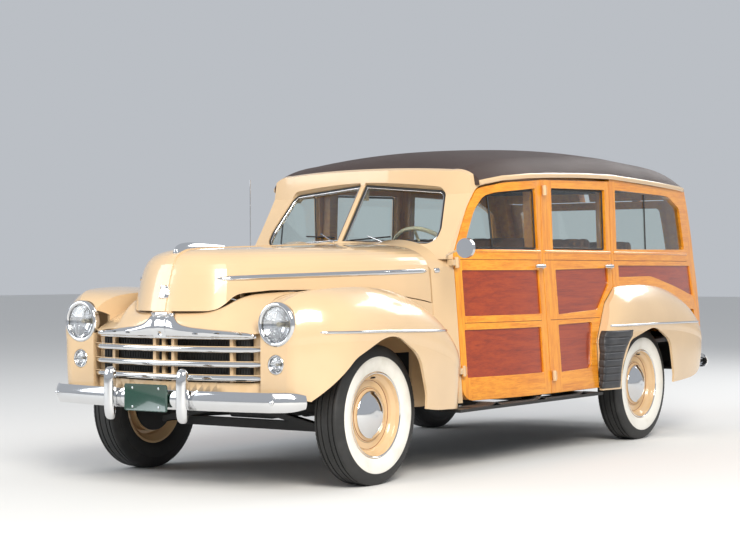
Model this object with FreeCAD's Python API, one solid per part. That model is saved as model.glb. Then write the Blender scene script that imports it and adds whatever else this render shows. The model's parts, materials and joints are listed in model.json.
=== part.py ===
import FreeCAD, Part
import math
import os

# Wooden-bodied station wagon, in millimetres, +Z up, front towards -Y, left side at +X.
# Stations along the car are written from the front axle, rearward positive. Heights are from the
# floor. At the end every piece is moved forward by originStation, so that the origin lies on the
# floor under the middle of the car.

# Driving dimensions of the whole car
wheelBase = 2896
frontTrack = 1473
rearTrack = 1524
originStation = 1677
panelGap = 5
fitGap = 0.3

# Wheels and tyres
tyreRadius = 350
tyreWidth = 160
beadRadius = 208
rimFlange = 216
rimSeat = 58
spindleRadius = 22
spindleFit = 0.5
drumRadius = 152
hubCapRadius = 116

# Steering knuckles
kingpinOffset = 96
kingpinRadius = 13
bossRadius = 26
bossHalf = 30
knuckleHalf = 50

# Wooden body walls
wallThickness = 45
panelRecess = 10
glassThickness = 6
glassRecess = 17
sillBottom = 362
beltBottom = 1070
beltTop = 1186
doorRearStation = 1678
doorFrontStation = 885
postStation = 2541
bodyEndStation = 3925
roofThickness = 30

# Fenders, hood and cowl
sheetThickness = 16
hoodRear = 720
cowlGap = 12


def vec(x, y, z):
    return FreeCAD.Vector(x, y, z)


# A closed outline of points (a, b) or (a, b, corner radius), placed in space by a function of a and b
def outlineWire(points, place):
    corners = [(p[0], p[1], p[2] if len(p) > 2 else 0) for p in points]
    starts = []
    ends = []
    mids = []
    for i, (a, b, radius) in enumerate(corners):
        before = corners[i - 1]
        after = corners[(i + 1) % len(corners)]
        here = vec(a, b, 0)
        toBefore = (vec(before[0], before[1], 0) - here).normalize()
        toAfter = (vec(after[0], after[1], 0) - here).normalize()
        if radius == 0:
            starts.append(here)
            ends.append(here)
            mids.append(None)
            continue
        half = toBefore.getAngle(toAfter) / 2
        reach = radius / math.tan(half)
        middle = (toBefore + toAfter).normalize()
        centre = here + middle * (radius / math.sin(half))
        starts.append(here + toBefore * reach)
        ends.append(here + toAfter * reach)
        mids.append(centre - middle * radius)
    edges = []
    for i in range(len(corners)):
        if mids[i] is not None:
            arcPoints = [place(p.x, p.y) for p in (starts[i], mids[i], ends[i])]
            edges.append(Part.Arc(*arcPoints).toShape())
        lineStart = ends[i]
        lineEnd = starts[(i + 1) % len(corners)]
        if lineStart.distanceToPoint(lineEnd) > 0.01:
            edges.append(Part.LineSegment(place(lineStart.x, lineStart.y), place(lineEnd.x, lineEnd.y)).toShape())
    return Part.Wire(edges)


# Plates cut from an outline: plateX has (y, z) points, plateY has (x, z) points, plateZ has (x, y) points
def plateX(points, x0, x1):
    face = Part.Face(outlineWire(points, lambda y, z: vec(x0, y, z)))
    return face.extrude(vec(x1 - x0, 0, 0))


def plateY(points, y0, y1):
    face = Part.Face(outlineWire(points, lambda x, z: vec(x, y0, z)))
    return face.extrude(vec(0, y1 - y0, 0))


def plateZ(points, z0, z1):
    face = Part.Face(outlineWire(points, lambda x, y: vec(x, y, z0)))
    return face.extrude(vec(0, 0, z1 - z0))


def block(x0, x1, y0, y1, z0, z1):
    return Part.makeBox(x1 - x0, y1 - y0, z1 - z0, vec(x0, y0, z0))


def rod(start, end, radius):
    direction = end - start
    return Part.makeCylinder(radius, direction.Length, start, direction)


def mirrored(shape):
    return shape.mirror(vec(0, 0, 0), vec(1, 0, 0))


def bothSides(shape):
    return shape.fuse(mirrored(shape))


def joined(shapes):
    result = shapes[0]
    for shape in shapes[1:]:
        result = result.fuse(shape)
    return result.removeSplitter()


# Turned about the wheel's axle: points are (radius, distance outward from the wheel's middle plane)
def turned(points, centre, side):
    face = Part.Face(outlineWire(points, lambda r, u: vec(centre.x + side * u, centre.y, centre.z + r)))
    return face.revolve(centre, vec(1, 0, 0), 360)


# Outer face of the wooden body at the middle of the car, as (height, distance from the centre plane)
sideLow = (300, 864)
sideMid = (750, 833)
sideBelt = (1140, 802)
sideTop = (1760, 782)

# The body narrows towards the cowl and towards the tail, along two large circles in plan
frontTaperStart = 1650
frontTaperRadius = 2869
rearTaperStart = 2550
rearTaperRadius = 13020


# Ahead of this station the side leans in more above the belt, to meet the windscreen posts
leanStart = 1450
leanRate = 0.2016


def planLean(y):
    return max(0, leanStart - y) * leanRate


def planShift(y):
    if y < frontTaperStart:
        return (frontTaperStart - y) ** 2 / (2 * frontTaperRadius)
    if y > rearTaperStart:
        return (y - rearTaperStart) ** 2 / (2 * rearTaperRadius)
    return 0


def sideWire(y, outerInset, innerInset):
    shift = planShift(y)

    def at(point, inset):
        lean = planLean(y) if point is sideTop else 0
        return vec(point[1] - shift - lean - inset, y, point[0])

    edges = [
        Part.Arc(at(sideLow, outerInset), at(sideMid, outerInset), at(sideBelt, outerInset)).toShape(),
        Part.LineSegment(at(sideBelt, outerInset), at(sideTop, outerInset)).toShape(),
        Part.LineSegment(at(sideTop, outerInset), at(sideTop, innerInset)).toShape(),
        Part.LineSegment(at(sideTop, innerInset), at(sideBelt, innerInset)).toShape(),
        Part.Arc(at(sideBelt, innerInset), at(sideMid, innerInset), at(sideLow, innerInset)).toShape(),
        Part.LineSegment(at(sideLow, innerInset), at(sideLow, outerInset)).toShape(),
    ]
    return Part.Wire(edges)


# The wall's three lengths: tapering to the cowl, straight, tapering to the tail
frontStations = (700, 960, 1210, 1450, frontTaperStart)
middleStations = (frontTaperStart, rearTaperStart)
rearStations = (rearTaperStart, 3020, 3490, 3960)
slabStore = {}


def wholeSlab(outerInset, innerInset):
    key = (outerInset, innerInset)
    if key not in slabStore:
        lengths = []
        for stations in (frontStations, middleStations, rearStations):
            wires = [sideWire(y, outerInset, innerInset) for y in stations]
            lengths.append(Part.makeLoft(wires, True, len(wires) == 2))
        slabStore[key] = lengths
    return slabStore[key]


# Left wall between two stations, from outerInset to innerInset inside the body's outer face
def sideSlab(y0, y1, outerInset, innerInset):
    room = block(-1000, 1200, y0, y1, 0, 2000)
    pieces = []
    spans = (frontStations, middleStations, rearStations)
    for span, length in zip(spans, wholeSlab(outerInset, innerInset)):
        if y0 < span[-1] and y1 > span[0]:
            pieces.append(length.common(room))
    return joined(pieces)


def lofted(wires, ruled=False):
    return Part.makeLoft(wires, True, ruled)


# Wheels

def tyre(centre, side):
    half = tyreWidth / 2
    profile = [
        (beadRadius, -rimSeat),
        (beadRadius, rimSeat),
        (rimFlange + 2, rimSeat),
        (275, half + 4, 60),
        (330, half - 6, 14),
        (tyreRadius, half - 18, 12),
        (tyreRadius, -(half - 18), 12),
        (330, -(half - 6), 14),
        (275, -(half + 4), 60),
        (rimFlange + 2, -rimSeat),
    ]
    return turned(profile, centre, side)


def wheel(centre, side):
    bore = spindleRadius + spindleFit
    profile = [
        (0, 66),
        (70, 58, 90),
        (hubCapRadius, 34, 8),
        (hubCapRadius, 26),
        (140, 14, 10),
        (172, 12, 6),
        (180, 30, 8),
        (198, 46, 6),
        (204, 62),
        (rimFlange, 66, 3),
        (rimFlange, rimSeat),
        (beadRadius, rimSeat),
        (beadRadius, 46),
        (186, 32, 6),
        (180, 16, 6),
        (180, -20, 6),
        (beadRadius, -46),
        (beadRadius, -rimSeat),
        (rimFlange, -rimSeat),
        (rimFlange, -66, 3),
        (204, -62),
        (172, -24, 8),
        (170, 4, 4),
        (drumRadius, 4),
        (drumRadius, -48),
        (drumRadius - 10, -48),
        (drumRadius - 10, -6),
        (36, -6),
        (34, -40),
        (bore, -40),
        (bore, 16),
        (0, 16),
    ]
    return turned(profile, centre, side)


def spindle(centre, side):
    inner = vec(centre.x - side * 56, centre.y, centre.z)
    outer = vec(centre.x + side * 12, centre.y, centre.z)
    plate = Part.makeCylinder(drumRadius - 6, 8, vec(centre.x - side * 62, centre.y, centre.z), vec(side, 0, 0))
    return rod(inner, outer, spindleRadius).fuse(plate)


def knuckle(centre, side):
    pin = vec(centre.x - side * kingpinOffset, centre.y, centre.z)
    plateFace = centre.x - side * 58
    body = block(min(pin.x, plateFace), max(pin.x, plateFace), -bossRadius, bossRadius,
                 centre.z - knuckleHalf, centre.z + knuckleHalf)
    lugs = Part.makeCylinder(bossRadius, 2 * knuckleHalf, pin - vec(0, 0, knuckleHalf))
    room = Part.makeCylinder(bossRadius + 5, 2 * bossHalf + 4, pin - vec(0, 0, bossHalf + 2))
    yoke = body.fuse(lugs).cut(room)
    kingpin = Part.makeCylinder(kingpinRadius, 2 * knuckleHalf, pin - vec(0, 0, knuckleHalf))
    return joined([yoke, kingpin, spindle(centre, side)])


# Running gear under the floor

def frontAxle():
    pinX = frontTrack / 2 - kingpinOffset
    beamDepth = 46
    beam = [
        (-pinX, tyreRadius - 24),
        (-pinX + 60, tyreRadius - 24, 40),
        (-470, 250, 60),
        (470, 250, 60),
        (pinX - 60, tyreRadius - 24, 40),
        (pinX, tyreRadius - 24),
        (pinX, tyreRadius + 24),
        (pinX - 80, tyreRadius + 24, 40),
        (450, 250 + beamDepth, 60),
        (-450, 250 + beamDepth, 60),
        (-pinX + 80, tyreRadius + 24, 40),
        (-pinX, tyreRadius + 24),
    ]
    solids = [plateY(beam, -22, 22)]
    for side in (1, -1):
        solids.append(Part.makeCylinder(bossRadius, 2 * bossHalf, vec(side * pinX, 0, tyreRadius - bossHalf)))
        solids.append(rod(vec(side * 520, 10, 296), vec(side * 60, 1180, 280), 15))
        solids.append(block(side * 505 - 14, side * 505 + 14, -110, 0, 268, 300))
    spring = [(-520, 268), (0, 372, 1200), (520, 268), (520, 296), (0, 404, 1200), (-520, 296)]
    solids.append(plateY(spring, -110, -60))
    solids.append(Part.makeCylinder(24, 120, vec(-60, 1180, 280), vec(1, 0, 0)))
    solids.append(block(-40, 40, 1165, 1195, 290, 360))
    solids.append(block(-60, 60, -110, -60, 370, 404))
    axle = joined(solids)
    for side in (1, -1):
        bore = Part.makeCylinder(kingpinRadius + fitGap, 2 * bossHalf + 2, vec(side * pinX, 0, tyreRadius - bossHalf - 1))
        axle = axle.cut(bore)
    return axle


def rearAxle():
    tubeEnd = rearTrack / 2 - 56
    solids = [rod(vec(-tubeEnd, wheelBase, tyreRadius), vec(tubeEnd, wheelBase, tyreRadius), 38)]
    solids.append(Part.makeSphere(140, vec(0, wheelBase, tyreRadius)))
    solids.append(rod(vec(0, 1242, 372), vec(0, wheelBase, tyreRadius), 34))
    solids.append(block(-50, 50, wheelBase + 110, wheelBase + 170, 420, 456))
    for side in (1, -1):
        solids.append(spindle(vec(side * rearTrack / 2, wheelBase, tyreRadius), side))
        solids.append(block(side * 545 - 20, side * 545 + 20, wheelBase, wheelBase + 170, 335, 365))
    spring = [(-565, 362), (0, 424, 2600), (565, 362), (565, 392), (0, 456, 2600), (-565, 392)]
    solids.append(plateY(spring, wheelBase + 110, wheelBase + 170))
    return joined(solids)


railInner = 400
railOuter = 455


def chassisFrame():
    rail = [
        (-610, 400),
        (250, 390, 300),
        (800, 320, 300),
        (2434, 320, 300),
        (2700, 458, 200),
        (3300, 466, 300),
        (4080, 420),
        (4080, 500),
        (3300, 560, 300),
        (2700, 560, 200),
        (2434, 408, 300),
        (800, 408, 300),
        (250, 470, 300),
        (-610, 470),
    ]
    solids = [plateX(rail, railInner, railOuter), plateX(rail, -railOuter, -railInner)]
    # Cross members: front station, rear station, bottom, top
    crossMembers = [
        (-620, -560, 405, 465),
        (-125, -45, 404, 455),
        (1140, 1240, 360, 405),
        (3000, 3070, 456, rearCrossTop),
        (4010, 4075, 425, 490),
    ]
    for y0, y1, z0, z1 in crossMembers:
        solids.append(block(-railOuter, railOuter, y0, y1, z0, z1))
    # Body mounts under the raised rear floor: station
    for station in (2800, 3600):
        for side in (1, -1):
            x0, x1 = sorted((side * railInner, side * railOuter))
            solids.append(block(x0, x1, station, station + 60, 510, rearFloorBottom))
    return joined(solids)


def engine():
    cylinders = plateY([(-150, 300, 30), (150, 300, 30), (270, 620, 20), (250, 800, 30), (-250, 800, 30),
                        (-270, 620, 20)], 10, 600)
    gearbox = plateX([(600, 300, 20), (1140, 312, 20), (1140, 400, 20), (760, 400, 60), (680, 520, 40),
                      (600, 560, 20)], -110, 110)
    mounts = [block(-railInner, railInner, 60, 110, 405, 445)]
    return joined([cylinders, gearbox] + mounts)


rearCrossTop = 520
pipeRadius = 22
pipeHeight = rearCrossTop + fitGap + pipeRadius


def exhaust():
    route = [(-262, 300, 430), (-330, 330, 420), (-330, 700, 290), (-300, 2200, 290), (-300, 2640, pipeHeight),
             (-300, 3140, pipeHeight), (-310, 3330, 400), (-310, 4130, 340)]
    points = [vec(*p) for p in route]
    solids = [rod(points[i], points[i + 1], pipeRadius) for i in range(len(points) - 1)]
    solids += [Part.makeSphere(pipeRadius, p) for p in points[1:-1]]
    solids.append(rod(vec(-326, 900, 290), vec(-312, 1650, 290), 62))
    return joined(solids)


def fuelTank():
    tank = [(3160, 330, 30), (3800, 320, 40), (3800, 480, 30), (3160, 480, 30)]
    hangers = block(-railInner, railInner, 3420, 3740, 468, 480)
    return joined([plateX(tank, -262, 370), hangers])


floorTop = 428
floorBottom = 408
rearFloorTop = 610
rearFloorBottom = 585
stepStation = 2330


archOuter = 432
archSheet = 16


def wheelHouseRoom():
    return Part.makeCylinder(archOuter, 120, vec(635, wheelBase, tyreRadius), vec(1, 0, 0))


def floorPan():
    front = plateZ([(-690, 880), (690, 880), (790, 1650, 900), (800, stepStation), (-800, stepStation),
                    (-790, 1650, 900)], floorBottom, floorTop)
    toeBoard = plateX([(firewallStation, 640), (880, floorBottom), (900, floorTop), (firewallStation + 18, 640)],
                      -640, 640)
    riser = block(-800, 800, stepStation, stepStation + 20, floorBottom, rearFloorTop)
    rear = plateZ([(-660, stepStation), (660, stepStation), (660, 3400), (gateHalf, 3700), (gateHalf, 3910),
                   (-gateHalf, 3910), (-gateHalf, 3700), (-660, 3400)], rearFloorBottom, rearFloorTop)
    solids = [front, toeBoard, riser, rear]
    outer = Part.makeCylinder(archOuter, 112, vec(640, wheelBase, tyreRadius), vec(1, 0, 0))
    inner = Part.makeCylinder(archOuter - archSheet, 112, vec(640 + archSheet, wheelBase, tyreRadius), vec(1, 0, 0))
    arch = outer.cut(inner).cut(block(0, 1000, 2000, 4000, -200, rearFloorBottom))
    solids += [arch, mirrored(arch)]
    for side in (1, -1):
        sill = plateZ([(side * 690, 885), (side * 745, 1250, 1500), (side * 800, 1650, 1500), (side * 800, stepStation),
                       (side * 740, stepStation), (side * 740, 1650, 1500), (side * 690, 1250, 1500),
                       (side * 640, 885)], sillBottom - 10, floorBottom)
        solids.append(sill)
    return joined(solids + seatFrames() + [rearPan()])


def runningBoards():
    solids = []
    for side in (1, -1):
        x0, x1 = sorted((side * 770, side * 902))
        solids.append(block(x0, x1, 625, 2235, 322, 338))
        for station in (1000, 1500, 2000):
            a, b = sorted((side * railOuter, side * 775))
            solids.append(block(a, b, station, station + 40, 326, 352))
    return joined(solids)


# Sheet metal nose, fenders and hood

# Front fender sections: station, inner edge, outer face, crest distance, crest height, inner height, bottom
frontFenderSections = [
    (-604, 548, 745, 660, 890, 850, 480),
    (-540, 545, 806, 692, 945, 905, 450),
    (-400, 525, 902, 752, 978, 950, 425),
    (-250, 500, 924, 775, 987, 960, 412),
    (-100, 482, 930, 788, 988, 962, 400),
    (180, 540, 925, 800, 955, 950, 380),
    (420, 590, 914, 805, 880, 872, 352),
    (530, 615, 906, 803, 820, 810, 348),
    (610, 632, 896, 800, 752, 740, 345),
    (690, 645, 850, 770, 700, 690, 350),
    (720, 650, 790, 740, 660, 655, 356),
]
frontRound = 80
rearFenderSections = [
    (2262, 790, 892, 840, 640, 630, 345),
    (2330, 770, 905, 835, 800, 790, 345),
    (2450, 770, 918, 830, 925, 925, 345),
    (2700, 770, 930, 835, 972, 985, 345),
    (3050, 770, 930, 830, 968, 982, 345),
    (3400, 770, 918, 825, 905, 915, 360),
    (3620, 770, 900, 820, 800, 800, 400),
    (3700, 770, 880, 815, 690, 690, 460),
]


def fenderWire(row, inset):
    y, inner, outer, crest, top, innerTop, bottom = row
    drop = top - bottom
    outer = outer - inset
    top = top - inset
    innerTop = innerTop - inset
    shoulder = bottom + 0.55 * drop
    innerFoot = vec(inner, y, bottom)
    outerFoot = vec(outer - 12, y, bottom)
    side = vec(outer, y, shoulder)
    peak = vec(crest, y, top)
    innerEdge = vec(inner, y, innerTop)
    bend = math.sqrt(0.5)
    haunch = vec(crest + (outer - crest) * bend, y, shoulder + (top - shoulder) * bend)
    flank = vec(outer - 3, y, bottom + 0.5 * (shoulder - bottom))
    slope = vec(inner + 0.5 * (crest - inner), y, innerTop + 0.68 * (top - innerTop))
    edges = [
        Part.LineSegment(innerFoot, outerFoot).toShape(),
        Part.Arc(outerFoot, flank, side).toShape(),
        Part.Arc(side, haunch, peak).toShape(),
        Part.Arc(peak, slope, innerEdge).toShape() if abs(top - innerTop) > 1 and top > innerTop
        else Part.LineSegment(peak, innerEdge).toShape(),
        Part.LineSegment(innerEdge, innerFoot).toShape(),
    ]
    return Part.Wire(edges)


frontArch = [(-545, 250), (-545, 440, 60), (-330, 650, 150), (-40, 770, 250), (215, 640, 180), (292, 440, 120),
             (292, 250)]
rearArch = [(2462, 250), (2470, 480, 90), (2560, 640, 90), (2880, 720, 260), (3120, 620, 120), (3190, 400, 60),
            (3190, 250)]


# The front face's outer and upper edges, rounded over
def roundedNose(shape, radius):
    face = shape.BoundBox.YMin
    edges = [e for e in shape.Edges if e.BoundBox.YMax < face + 2 and e.BoundBox.ZMax > 600
             and e.BoundBox.XMax > 600]
    return shape.makeFillet(radius, edges)


def frontFenderBody():
    return roundedNose(lofted([fenderWire(row, 0) for row in frontFenderSections]), frontRound)


def frontFender():
    outer = frontFenderBody()
    innerRows = []
    for y, inner, out, crest, top, innerTop, bottom in frontFenderSections:
        innerRows.append((y, inner + sheetThickness, out, crest, top, innerTop, bottom - 60))
    innerRows[0] = (innerRows[0][0] + sheetThickness,) + innerRows[0][1:]
    innerRows[-1] = (innerRows[-1][0] - sheetThickness,) + innerRows[-1][1:]
    inner = roundedNose(lofted([fenderWire(row, sheetThickness) for row in innerRows]), frontRound - sheetThickness)
    shell = outer.cut(inner)
    shell = shell.cut(plateX(frontArch, 700, 1000))
    # The inner apron ends above the frame and the steered wheel
    shell = shell.cut(block(400, 660, -500, 560, 200, 640))
    for x, y, z, radius in (headlamp + (headlampRadius,), parkingLamp + (parkingRadius,)):
        shell = shell.cut(Part.makeCylinder(radius + fitGap, 200, vec(x, y - 100, z), vec(0, 1, 0)))
    return shell


def rearFender():
    outer = lofted([fenderWire(row, 0) for row in rearFenderSections])
    innerRows = []
    for y, inner, out, crest, top, innerTop, bottom in rearFenderSections:
        innerRows.append((y, inner - 20, out, crest, top, innerTop, bottom - 60))
    innerRows[0] = (innerRows[0][0] + sheetThickness,) + innerRows[0][1:]
    innerRows[-1] = (innerRows[-1][0] - sheetThickness,) + innerRows[-1][1:]
    inner = lofted([fenderWire(row, sheetThickness) for row in innerRows])
    # The front wall follows the rear door's edge
    shell = outer.cut(inner).fuse(outer.common(rearDoorRoom(sheetThickness))).cut(plateX(rearArch, 700, 1000))
    shell = shell.cut(sideSlab(2200, 3950, 0, 700))
    return shell.cut(rearDoorRoom())


# Room for the closed rear door and its way out
def rearDoorRoom(grow=0):
    grown = [
        (1700, 300),
        (1700, 1640),
        (postStation + grow, 1640),
        (postStation + grow, 966 - 0.7 * grow, 30),
        (2403 + 0.8 * grow, 865 - 0.6 * grow, 80),
        (2273 + grow, 638 - 0.2 * grow, 160),
        (2262 + panelGap + grow, 300),
    ]
    return plateX(grown, 600, 1100)


# Hood: plan outlines in planes that tilt with the hood's top, from below the lower edge to the crown.
# Each row: height at the nose, height at the rear, nose station, cheek distance, cheek station,
# flank distance, rear half width, share of an inset that lowers the row
hoodRows = [
    (600, 600, -720, 310, -580, 490, 676, 0),
    (790, 790, -716, 308, -578, 488, 674, 0),
    (870, 880, -697, 300, -562, 480, 670, 0),
    (960, 980, -676, 291, -545, 471, 664, 0),
    (1007, 1030, -665, 286, -536, 465, 659, 0.1),
    (1050, 1075, -653, 279, -528, 458, 652, 0.3),
    (1077, 1101, -644, 272, -523, 450, 643, 0.45),
    (1101, 1125, -634, 262, -517, 439, 630, 0.6),
    (1118, 1142, -624, 252, -512, 428, 616, 0.7),
    (1133, 1159, -611, 240, -504, 413, 595, 0.8),
    (1146, 1174, -597, 225, -495, 394, 565, 0.95),
    (1156, 1186, -580, 208, -484, 370, 530, 1),
    (1164, 1196, -562, 188, -471, 341, 489, 1),
    (1171, 1204, -542, 165, -456, 305, 439, 1),
    (1176, 1210, -520, 140, -440, 262, 380, 1),
    (1179, 1216, -486, 98, -415, 183, 267, 1),
    (1182, 1220, -450, 54, -390, 96, 140, 1),
]
flankStation = -180
hoodFrontLow = 874
hoodSideLow = 974
ribHalf = 26
ribProud = 5
# Hinge of the hood, station and height, under its rear edge
hoodHinge = (706, 1212)
hoodBarrel = 5


def hoodPlanWire(row, inset):
    frontHeight, rearHeight, noseStation, cheekX, cheekStation, flankX, rearHalf, share = row
    rear = hoodRear + (0 if inset <= 0 else 40)
    drop = share * inset

    def at(x, y):
        z = frontHeight - drop + (rearHeight - frontHeight) * (y - noseStation) / (hoodRear - noseStation)
        return vec(x, y, z)

    cheekX = cheekX - 0.7 * inset
    cheekStation = cheekStation + 0.7 * inset
    flankX = flankX - inset
    rearHalf = rearHalf - inset
    edges = [
        Part.Arc(at(-cheekX, cheekStation), at(0, noseStation + inset), at(cheekX, cheekStation)).toShape(),
        Part.Arc(at(cheekX, cheekStation), at(flankX, flankStation), at(rearHalf, rear)).toShape(),
        Part.LineSegment(at(rearHalf, rear), at(-rearHalf, rear)).toShape(),
        Part.Arc(at(-rearHalf, rear), at(-flankX, flankStation), at(-cheekX, cheekStation)).toShape(),
    ]
    return Part.Wire(edges)


def hoodBody(inset):
    return lofted([hoodPlanWire(row, inset) for row in hoodRows], True)


# What lies below the hood's edge: stepping up round the nose, level along the side, down to the rear corner
def hoodLowRoom(gap):
    return plateX([(-900, 400), (900, 400), (900, 900 - gap), (hoodRear - cowlGap - gap, 900 - gap),
                   (640 - gap, 912 - gap, 60), (200, hoodSideLow - gap, 900), (-330, hoodSideLow - gap, 300),
                   (-500, hoodFrontLow + 84 - gap, 120), (-600, hoodFrontLow - gap, 90),
                   (-900, hoodFrontLow - gap)], -900, 900)


def hood():
    strip = hoodBody(-ribProud).common(block(-ribHalf, ribHalf, -900, hoodRear, 700, 1400))
    shell = hoodBody(0).fuse(strip).cut(hoodBody(sheetThickness))
    behind = block(-900, 900, hoodRear - cowlGap, hoodRear + 200, 400, 1400)
    shell = shell.cut(hoodLowRoom(0)).cut(behind)
    barrel = rod(vec(60, *hoodHinge), vec(120, *hoodHinge), hoodBarrel)
    return joined([shell, barrel, mirrored(barrel)])


apronStart = 230


# Side panels under the hood's rear edge, flush with the hood, from the fenders to the cowl
def hoodApron():
    sheet = hoodBody(0).cut(hoodBody(12)).common(hoodLowRoom(panelGap))
    return sheet.common(block(-900, 900, apronStart, hoodRear + 4, 640, 1000))


# Section of the cowl: flat sides and a crown between them
def crownWire(y, half, shoulder, top, bottom, inset):
    bend = 0.74
    haunch = vec(half * bend, y, shoulder + (top - shoulder) * 0.78 - inset)
    edges = [
        Part.LineSegment(vec(-half, y, bottom), vec(half, y, bottom)).toShape(),
        Part.LineSegment(vec(half, y, bottom), vec(half, y, shoulder - inset)).toShape(),
        Part.Arc(vec(half, y, shoulder - inset), haunch, vec(half * 0.36, y, top - 6 - inset)).toShape(),
        Part.Arc(vec(half * 0.36, y, top - 6 - inset), vec(0, y, top - inset),
                 vec(-half * 0.36, y, top - 6 - inset)).toShape(),
        Part.Arc(vec(-half * 0.36, y, top - 6 - inset), vec(-haunch.x, y, haunch.z),
                 vec(-half, y, shoulder - inset)).toShape(),
        Part.LineSegment(vec(-half, y, shoulder - inset), vec(-half, y, bottom)).toShape(),
    ]
    return Part.Wire(edges)


def bowedBand(halfWidth, endStation, middleStation, depth, z0, z1):
    front = Part.Arc(vec(-halfWidth, endStation, z0), vec(0, middleStation, z0), vec(halfWidth, endStation, z0))
    back = Part.Arc(vec(halfWidth, endStation + depth, z0), vec(0, middleStation + depth, z0),
                    vec(-halfWidth, endStation + depth, z0))
    edges = [
        front.toShape(),
        Part.LineSegment(vec(halfWidth, endStation, z0), vec(halfWidth, endStation + depth, z0)).toShape(),
        back.toShape(),
        Part.LineSegment(vec(-halfWidth, endStation + depth, z0), vec(-halfWidth, endStation, z0)).toShape(),
    ]
    return Part.Face(Part.Wire(edges)).extrude(vec(0, 0, z1 - z0))


# Grille bars: middle height, half width
grilleBars = [(752, 516), (689, 538), (618, 542), (552, 542)]
barHeight = 27
barDepth = 22
barEndStation = -592
barMiddleStation = -704
postDistances = (-440, -330, -220, -110, 0, 110, 220, 330, 440)


barHalf = 546


# Station of the bars' front face at a distance from the middle of the car
def barFace(x):
    rise = barEndStation - barMiddleStation
    radius = (barHalf ** 2 + rise ** 2) / (2 * rise)
    return barMiddleStation + radius - math.sqrt(radius ** 2 - x ** 2)


# Sheet between the top bar and the hood's edge, and back along it, as sections across the car.
# Each row: distance, lower station, lower height, middle station, middle height, upper station, upper height
catwalkRows = [
    (0, -706, 769, -704, 820, -672, 866),
    (90, -703, 769, -698, 820, -662, 866),
    (180, -694, 769, -683, 822, -628, 867),
    (270, -679, 769, -655, 828, -565, 888),
    (330, -665, 769, -628, 834, -452, 943),
    (390, -648, 769, -575, 838, -333, 959),
    (450, -628, 769, -515, 846, -203, 964),
    (500, -610, 769, -455, 850, -110, 950),
    (548, -588, 769, -400, 855, -60, 940),
]


def catwalk():
    wires = []
    for x, y0, z0, y1, z1, y2, z2 in catwalkRows:
        depth = sheetThickness
        outer = [vec(x, y0, z0), vec(x, y1, z1), vec(x, y2, z2)]
        inner = [vec(x, y2 + depth, z2 - depth / 2), vec(x, y1 + depth, z1 - depth / 2), vec(x, y0 + depth, z0)]
        edges = [
            Part.Arc(*outer).toShape(),
            Part.LineSegment(outer[2], inner[0]).toShape(),
            Part.Arc(*inner).toShape(),
            Part.LineSegment(inner[2], outer[0]).toShape(),
        ]
        wires.append(Part.Wire(edges))
    return lofted(wires)


def grillePanel():
    half = catwalk()
    nose = half.fuse(mirrored(half))
    hoodRest = block(-60, 60, -696, -676, 850, hoodFrontLow - fitGap)
    splash = bowedBand(530, barEndStation + 14, barMiddleStation + 16, 60, 480, 530)
    solids = [nose, splash, hoodRest]
    for x in postDistances:
        front = barFace(abs(x) + 9) + barDepth
        solids.append(block(x - 9, x + 9, front, front + 26, 520, 786))
    # Inner panels that carry the grille between the fenders
    for side in (1, -1):
        x0, x1 = sorted((side * 480, side * 528))
        solids.append(block(x0, x1, barEndStation + barDepth, barEndStation + 52, 480, 788))
    # Lower pan, carried on the front ends of the frame
    solids.append(block(-480, 480, -640, -540, 470, 480))
    return joined(solids)


def grilleBarSolids():
    bars = []
    for height, half in grilleBars:
        bar = bowedBand(barHalf, barEndStation, barMiddleStation, barDepth, height - barHeight / 2,
                        height + barHeight / 2)
        bars.append(bar.common(block(-half, half, -800, -500, 400, 900)))
    return Part.makeCompound(bars)


# Windscreen plane of the left half: y = planeBase + planeSweep * x + planeLean * (z - planeHeight)
planeBase = 796
planeHeight = 1243
planeSweep = 0.160
planeLean = 0.719


def screenPoint(x, z, depth):
    normal = vec(planeSweep, -1, planeLean)
    normal.normalize()
    point = vec(x, planeBase + planeSweep * x + planeLean * (z - planeHeight), z)
    return point - normal * depth


def screenPlate(points, depth0, depth1):
    face = Part.Face(outlineWire(points, lambda x, z: screenPoint(x, z, depth0)))
    return face.extrude(screenPoint(0, 0, depth1) - screenPoint(0, 0, depth0))


screenGlass = [(14, 1236), (14, 1566, 6), (530, 1520, 60), (592, 1300, 60), (588, 1213, 60)]
screenFrameDepth = 42


def screenHole(grow):
    grown = [(14 - grow, 1236 - grow), (14 - grow, 1566 + grow, 6), (530 + grow, 1520 + grow, 60 + grow),
             (592 + grow, 1300, 60), (588 + grow, 1213 - grow, 60)]
    return grown


railStart = 1180
firewallStation = 745
columnRoom = 22.5


# Everything behind the windscreen's outer face, above the cowl, down to a depth
def behindScreen(depth):
    half = screenPlate([(0, 1000), (0, 1800), (900, 1800), (900, 1000)], 0, depth)
    half = half.common(block(0, 900, 600, 2200, 1130, 1900))
    return half.fuse(mirrored(half))


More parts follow.
